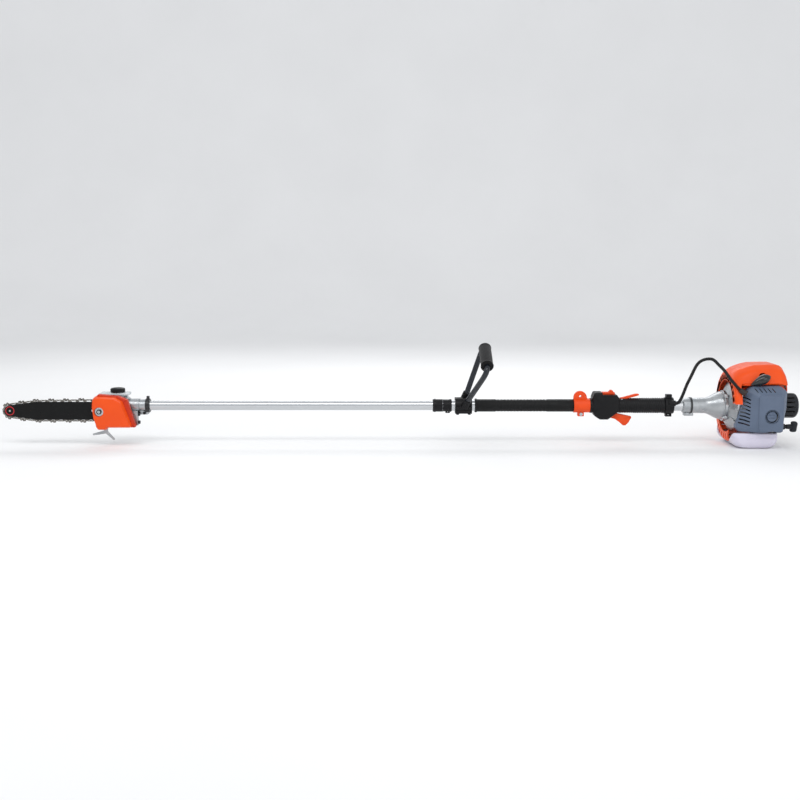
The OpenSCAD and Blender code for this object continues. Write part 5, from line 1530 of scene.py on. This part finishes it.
        # louvres that slope down to the rear, longer towards the foot
        blades = []
        for k in range(8):
            long = 17 + 1.5 * k
            bend = round_corners(
                np.array([[0, 1.9], [long * 0.5, -0.2], [long, -4.6], [long, -8.2],
                          [long * 0.5, -4], [0, -1.9]]),
                np.array([1.6, 12, 1.6, 1.6, 12, 1.6]), 5)
            foot = np.array([424.5 - 1.75 * k, 33 - 9.7 * k])
            blades.append(Surface.slab(bend + foot, -112, -66, 0.3, 2))
        # the louvres' cut walls are near-black, painted shade
        carve(obj, merged(*blades), Finishes.SLOT_SHADE, 28)
        # a row of five slanted notches under the top edge
        notch = round_corners(np.array([[-4.6, 5], [-2.2, 5.6], [4.6, -4.4], [2.4, -5.4]]), 1.0, 4)
        places = np.stack([455 + 11.5 * np.arange(5), np.zeros(5), np.full(5, 52.5)], axis=1)
        # the notches' cut walls are near-black, painted shade
        carve(obj, Surface.slab(notch, -112, -66, 0.3, 2).copied(places), Finishes.SLOT_SHADE, 28)
        well = np.array([[-112, 17.2], [-104.6, 17.2], [-103.6, 16.4], [-97, 15.6]])
        carve(obj, Surface.lathe(well, (kx, 0, kz), 1, 64), Finishes.SLATE, 28)
        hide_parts("air_cleaner_cover")
        floor = np.array([[-97.2, 4], [-97.2, 15.2], [-95.4, 15.8], [-94.4, 15.8], [-94.4, 4]])
        rim = np.array([[-104.2, 17.3], [-105, 17.9], [-105, 19], [-104, 19.8]])
        merged(
            Surface.lathe(floor, (kx, 0, kz), 1, 48, ring=True),
            Surface.lathe(rim, (kx, 0, kz), 1, 64, ring=True),
        ).piece("knob_well", Finishes.SLATE, Body.REAR)

    def knob_piece(self) -> None:
        """Builds the cover's knob: a dished disc with a finger bar across it."""
        kx, kz = self.knob
        y = self.cleaner_front
        disc = Surface.lathe(np.array([
            [y + 7.6, 12.6], [y + 3.4, 13.4], [y + 2.2, 13.0], [y + 1.4, 12.0], [y + 1.9, 10.6],
            [y + 3.0, 9.0], [y + 3.4, 4.0], [y + 3.5, 1.0]]), (kx, 0, kz), 1, 56)
        bar = round_corners(np.array([[kx - 12, kz - 2.6], [kx + 12, kz - 2.0], [kx + 12, kz + 2.0],
                                      [kx - 12, kz + 2.6]]), 1.8, 5, 6)
        grip = Surface.slab(bar, y + 0.2, y + 5, 1.4, 5, 0.2)
        stud = Surface.lathe(np.array([[y + 7, 3], [y + 31, 3]]), (kx, 0, kz), 1, 24)
        obj = merged(disc, grip, stud).piece("air_cleaner_knob", Finishes.SLATE, Body.KNOB)
        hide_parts("cover_knob")

    def recoil(self) -> None:
        """Turns the starter's drum, hollows it, and cuts its cooling slots."""
        x = self.rear_x
        outer = np.array(
            [[0.5, 50.5], [0.5, 53.4], [1.2, 54], [19, 54], [21.4, 53.2], [29, 45.5],
             [30, 43.5], [31, 36], [32.4, 34.4], [34.5, 34], [77, 34], [80, 33.6], [83, 31.8],
             [85.4, 28.6], [86, 26], [85.6, 20], [84.4, 10], [84.1, 1]]) + [x, 0]
        # the hollow runs past the open end, so that the drum is cut clean through
        inner = np.array(
            [[-2.5, 50.5], [20, 50], [27, 42], [30, 30.5], [78, 30.5], [80, 29], [82, 20],
             [83, 1]]) + [x, 0]
        obj = Surface.on_pole(outer, 96).piece("recoil_drum", Finishes.CHARCOAL, Body.REAR)
        carve(obj, Surface.on_pole(inner, 96), Finishes.CHARCOAL)
        slot = Surface.block((x + 38, 22, -2.4), (x + 74, 40, 2.4), 1.8)
        # the slots' cut walls are near-black, painted shade
        carve(obj, slot.around(np.arange(0, 360, 22.5)), Finishes.SLOT_SHADE)
        vent = Surface.block((x + 6, 49, -3), (x + 17, 58, 3), 1.5)
        # the vents' cut walls are near-black, painted shade
        carve(obj, vent.around(np.arange(15, 360, 15)), Finishes.SLOT_SHADE)
        rx, ry, rz = ROPE_EXIT
        snout = np.array([[rx - 2, 8.0], [rx + 9, 8.0], [rx + 12.6, 7.2], [rx + 13.8, 5.2],
                          [rx + 13.2, 3.4]])
        web = Surface.block((x + 9, ry - 2, rz - 7.4), (rx + 6, -26, rz + 7.4), 4)
        merged(Surface.lathe(snout, (0, ry, rz), 0, 40), web).piece(
            "recoil_snout", Finishes.CHARCOAL, Body.REAR)
        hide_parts("recoil_housing")

    def build(self) -> None:
        """Makes the covers."""
        self.hood()
        self.fan_ring()
        self.cleaner()
        self.knob_piece()
        self.recoil()


@dataclass
class EngineParts:
    """The clutch bell, the tank, the plug cap and the starter's grip."""

    bell_x: float = 281.0
    tank_low: Triple = (399.0, -87.0, -107.0)
    tank_high: Triple = (523.0, 84.0, -64.0)

    def bell(self) -> None:
        """Turns the clutch bell: a neck, a turned band, and a flare to the fan case.

        The flare's radius follows a half cosine, r0 + (r1 - r0) (1 - cos(pi s^0.9)) / 2.
        """
        x = self.bell_x
        s = np.linspace(0, 1, 18)
        swell = 21.4 + 16.8 * (1 - np.cos(math.pi * s**0.9)) / 2
        flare = np.stack([x + 60 + 47 * s, swell], axis=1)
        profile = np.vstack([
            [[x, 18.6], [x + 1.4, 20.2], [x + 17, 20.8], [x + 18, 20.8], [x + 18.4, 22.3],
             [x + 25.6, 22.5], [x + 26, 21], [x + 40, 21.2], [x + 40.4, 20.8],
             [x + 41.4, 20.8], [x + 41.8, 21.2], [x + 56, 21.3]], flare,
            [[x + 107.6, 39], [x + 108, 41.4], [x + 108.8, 42], [x + 115.4, 42],
             [x + 116, 41.4]],
            [[x + 116, 34], [x + 100, 34], [x + 70, 16.5], [x + 40, 15.05], [x, 15.05]],
        ])
        obj = Surface.on_pole(profile, 96, ring=True).piece(
            "clutch_bell", Finishes.CAST, Body.REAR, 30)
        slit = Surface.block((x - 4, -1, -32), (x + 34, 1, -12), 0.3)
        carve(obj, slit, Finishes.CAST_DULL, 30)
        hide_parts("clutch_housing")
        # two ears clamp the neck under the slit, with a screw's head on either side of each
        ears = []
        for side in (-1, 1):
            low, high = (1, 8) if side > 0 else (-8, -1)
            ears.append(Surface.block((x + 4, low, -28), (x + 30, high, -18.6), 2))
            screw = np.array([[side * 7.6, 4.8], [side * 9.6, 4.4], [side * 10, 3.6]])
            for at in (11, 23):
                ears.append(Surface.lathe(screw, (x + at, 0, -23), 1, 24))
        angle = np.radians([45, 135, 225, 315])
        boss = Surface.on_pole(np.array([[x + 107, 5.2], [x + 108.2, 6], [x + 116, 6]]), 28)
        places = 41.0 * np.stack([0 * angle, -np.sin(angle), np.cos(angle)], axis=1)
        merged(*ears, boss.copied(places)).piece("clutch_bell_lugs", Finishes.CAST, Body.REAR)
        head = Surface.on_pole(np.array(
            [[x + 103.4, 1.4], [x + 104.4, 1.6], [x + 104.4, 3.4], [x + 103, 4.2],
             [x + 103.4, 4.8], [x + 107.4, 4.8]]), 24)
        head.copied(places).piece("clutch_bell_screws", Finishes.ZINC, Body.REAR)
        band = Surface.on_pole(np.array(
            [[x + 19.2, 22.4], [x + 19.6, 23.1], [x + 24.4, 23.1], [x + 24.8, 22.4]]),
            72, ring=True)
        band.piece("clutch_bell_band", Finishes.PAINTED_BLACK, Body.REAR)

    def tank(self) -> None:
        """Builds the blow-moulded tank: rounded outlines in X and Y stacked up.

        Towards the bottom each side draws in on a quarter ellipse, further at the front than
        at the rear, and a thin flash line runs round its middle.
        """
        (x0, y0, z0), (x1, y1, z1) = self.tank_low, self.tank_high
        s = np.linspace(0, math.pi / 2, 13)
        flash = [-78, -77.4, -76.9, -76.3, -71]
        z = np.concatenate([z0 + 27 * (1 - np.cos(s)), flash, z1 - 5 * (1 - np.sin(s[::4]))])
        draw = np.concatenate([1 - np.sin(s), np.zeros(5), 0.16 * (1 - np.cos(s[::4]))])
        lip = np.concatenate([np.zeros(13), [0, 0.7, 0.7, 0, 0], np.zeros(4)])
        left, right, flank = x0 + 0.7 + 34 * draw, x1 - 0.7 - 22 * draw, 20 * draw
        low, high = y0 + 0.7 + flank, y1 - 0.7 - flank
        corners = np.stack([
            np.stack([left, low], 1), np.stack([right, low], 1), np.stack([right, high], 1),
            np.stack([left, high], 1)], axis=1)
        outlines = grown(np.stack([round_corners(c, 18, 9, 6) for c in corners]), lip)
        obj = Surface.stack(z, outlines, 2).piece("fuel_tank_shell", Finishes.TANK, Body.REAR, 40)
        # its front end is hollowed to sit under the fan ring
        carve(obj, Surface.on_pole(np.array([[380, 98.4], [453, 98.4]]), 128), Finishes.TANK, 40)
        neck = np.array([[-66, 12.6], [-59.6, 13.6], [-59, 13.2]])
        Surface.lathe(neck, (485, 58, 0), 2, 40).piece("fuel_tank_neck", Finishes.TANK, Body.REAR)
        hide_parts("fuel_tank")

    def tank_cap(self) -> None:
        """Builds the fuel cap with its twenty ribs."""
        foot = (485.0, 58.0, -63.5)
        ribbed_cap("fuel_tank_cap", foot, 19.0, 14.4, 20, Body.FUEL_CAP, "fuel_cap")

    def plug_boot(self) -> None:
        """Builds the plug cap: a drop-shaped body round a slanted line, and its neck.

        At distance s along the line the drop's radius is R sin(pi s)^0.62 pulled towards the
        round end, so the other end comes to a soft point.
        """
        tip, end = np.array([441.5, -78.5, 66.0]), np.array([494.5, -80, 90.0])
        way = (end - tip) / np.linalg.norm(end - tip)
        long = float(np.linalg.norm(end - tip))
        s = np.linspace(0.004, 0.996, 34)
        r = 15.2 * np.sin(math.pi * s**1.35) ** 0.62 * (0.86 + 0.14 * s)
        side = np.cross(way, [0, 1, 0])
        side /= np.linalg.norm(side)
        out = np.cross(side, way)
        t = np.arange(36) * TURN / 36
        rings = (tip + way * (s * long)[:, None])[:, None, :] + r[:, None, None] * (
            side * np.cos(t)[:, None] * 0.92 + out * np.sin(t)[:, None] * 0.88)[None]
        drop = Surface.loft(rings)
        neck = Surface.tube(
            np.array([[478, -78, 83.5], [478, -60, 85.5], [478, -40, 88], [478, -34, 89]],
                     dtype=float), np.array([9.2, 9.2, 8.8, 8.4]), 28, up=(0, 0, 1))
        obj = merged(drop, neck).piece("plug_boot", Finishes.GLOSS_BLACK, Body.REAR, 60)
        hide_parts("plug_cap")

    def starter_handle(self) -> None:
        """Builds the starter's T grip: a waisted crossbar on a tapered stem."""
        z = np.linspace(-15.4, 15.4, 25)
        f = np.abs(z) / 15.4
        fall = np.sqrt(np.clip(1 - f**6, 0.02, 1))
        front = 31.6 - 1.5 * (1 - f**2)
        back = 14.5 - 5 * f**2
        mid, half = (front + back) / 2, (front - back) / 2 * fall
        thick = (7.4 + 0.6 * f**2) * fall
        square = np.array([[-1.0, -1.0], [1.0, -1.0], [1.0, 1.0], [-1.0, 1.0]])
        base = round_corners(square, 0.75, 6, 1)
        outlines = base[None] * np.stack([half, thick], 1)[:, None, :]
        outlines[..., 0] += mid[:, None]
        bar = Surface.stack(z, outlines, 2)
        stem = Surface.on_pole(np.array([[0.2, 4.8], [0.8, 6.0], [6, 6.6], [16, 7.2]]), 32)
        x, y, depth = ROPE_EXIT
        obj = merged(bar, stem).placed(turn(0, 20), (x + 15, y, depth)).piece(
            "starter_t_grip", Finishes.CHARCOAL, Body.STARTER, 50)
        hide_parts("starter_grip")

    def starter_line(self) -> None:
        """Runs the starter rope from the cover into the grip."""
        _, y, z = ROPE_EXIT
        x = np.linspace(529.5, 559, 160)
        line = Surface.tube(np.stack([x, 0 * x + y, 0 * x + z], axis=1), 1.7, 14)
        obj = line.piece("starter_rope_line", Finishes.ROPE, None)
        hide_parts("starter_rope")
        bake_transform(obj)

    def build(self) -> None:
        """Makes the engine's other parts."""
        self.bell()
        self.tank()
        self.tank_cap()
        self.plug_boot()
        self.starter_handle()
        self.starter_line()


def ribbed_cap(
    name: str,
    foot: Triple,
    radius: float,
    height: float,
    ribs: int,
    body: Body,
    node: str,
) -> None:
    """Builds a domed screw cap whose skirt is ribbed.

    On the skirt the radius is r (1 - 0.05 (1 - |cos(ribs t / 2)|)), so each rib is a rounded
    ridge between sharp grooves, and the ribs fade into the dome.

    Args:
        name: The piece's name.
        foot: The middle of its lower rim.
        radius: Its radius over the ribs.
        height: Its height.
        ribs: How many ribs it has.
        body: The body it rides on.
        node: The CAD node it stands for.
    """
    h = np.array([0, 0.3, 0.8, 3, 6, 9, 10.3, 11.2, 12, 12.8, 13.5, 14, 14.3, 14.4]) * height / 14.4
    r = np.array([0.93, 0.97, 1, 1, 1, 1, 0.985, 0.95, 0.9, 0.8, 0.64, 0.42, 0.2, 0.03]) * radius
    depth = np.array([0, 0.6, 1, 1, 1, 1, 0.8, 0.45, 0.15, 0, 0, 0, 0, 0]) * 0.05
    t = np.arange(ribs * 8) * TURN / (ribs * 8)
    rib = 1 - depth[:, None] * (1 - np.abs(np.cos(ribs * t / 2)))[None]
    flat = (r[:, None] * rib)[..., None] * np.stack([np.cos(t), np.sin(t)], axis=1)[None]
    cap = Surface.stack(h + foot[2], flat + np.array(foot[:2]), 2)
    obj = cap.piece(name, Finishes.BLACK, body, 50)
    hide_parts(node)


# ---- Whole saw -------------------------------------------------------------------------------


def dress_nodes() -> None:
    """Gives every CAD node its finish."""
    for finish, nodes in NODES_WEARING.items():
        for node in nodes.split():
            obj = bpy.data.objects.get(node)
            if obj is None:
                log.warning("no object for node %s", node)
                continue
            obj.data.materials.clear()
            obj.data.materials.append(finish.material())


def main() -> None:
    """Builds the room, the cord and then the saw, sub-assembly by sub-assembly."""
    logging.basicConfig(level=logging.INFO, format="%(name)s: %(message)s")
    Studio().build()
    Conduit().build()
    dress_nodes()
    for assembly in (SawHead(), LoopHandle(), Controls(), EngineCovers(), EngineParts()):
        assembly.build()
        log.info("%s done", type(assembly).__name__)


if __name__ == "__main__":
    main()
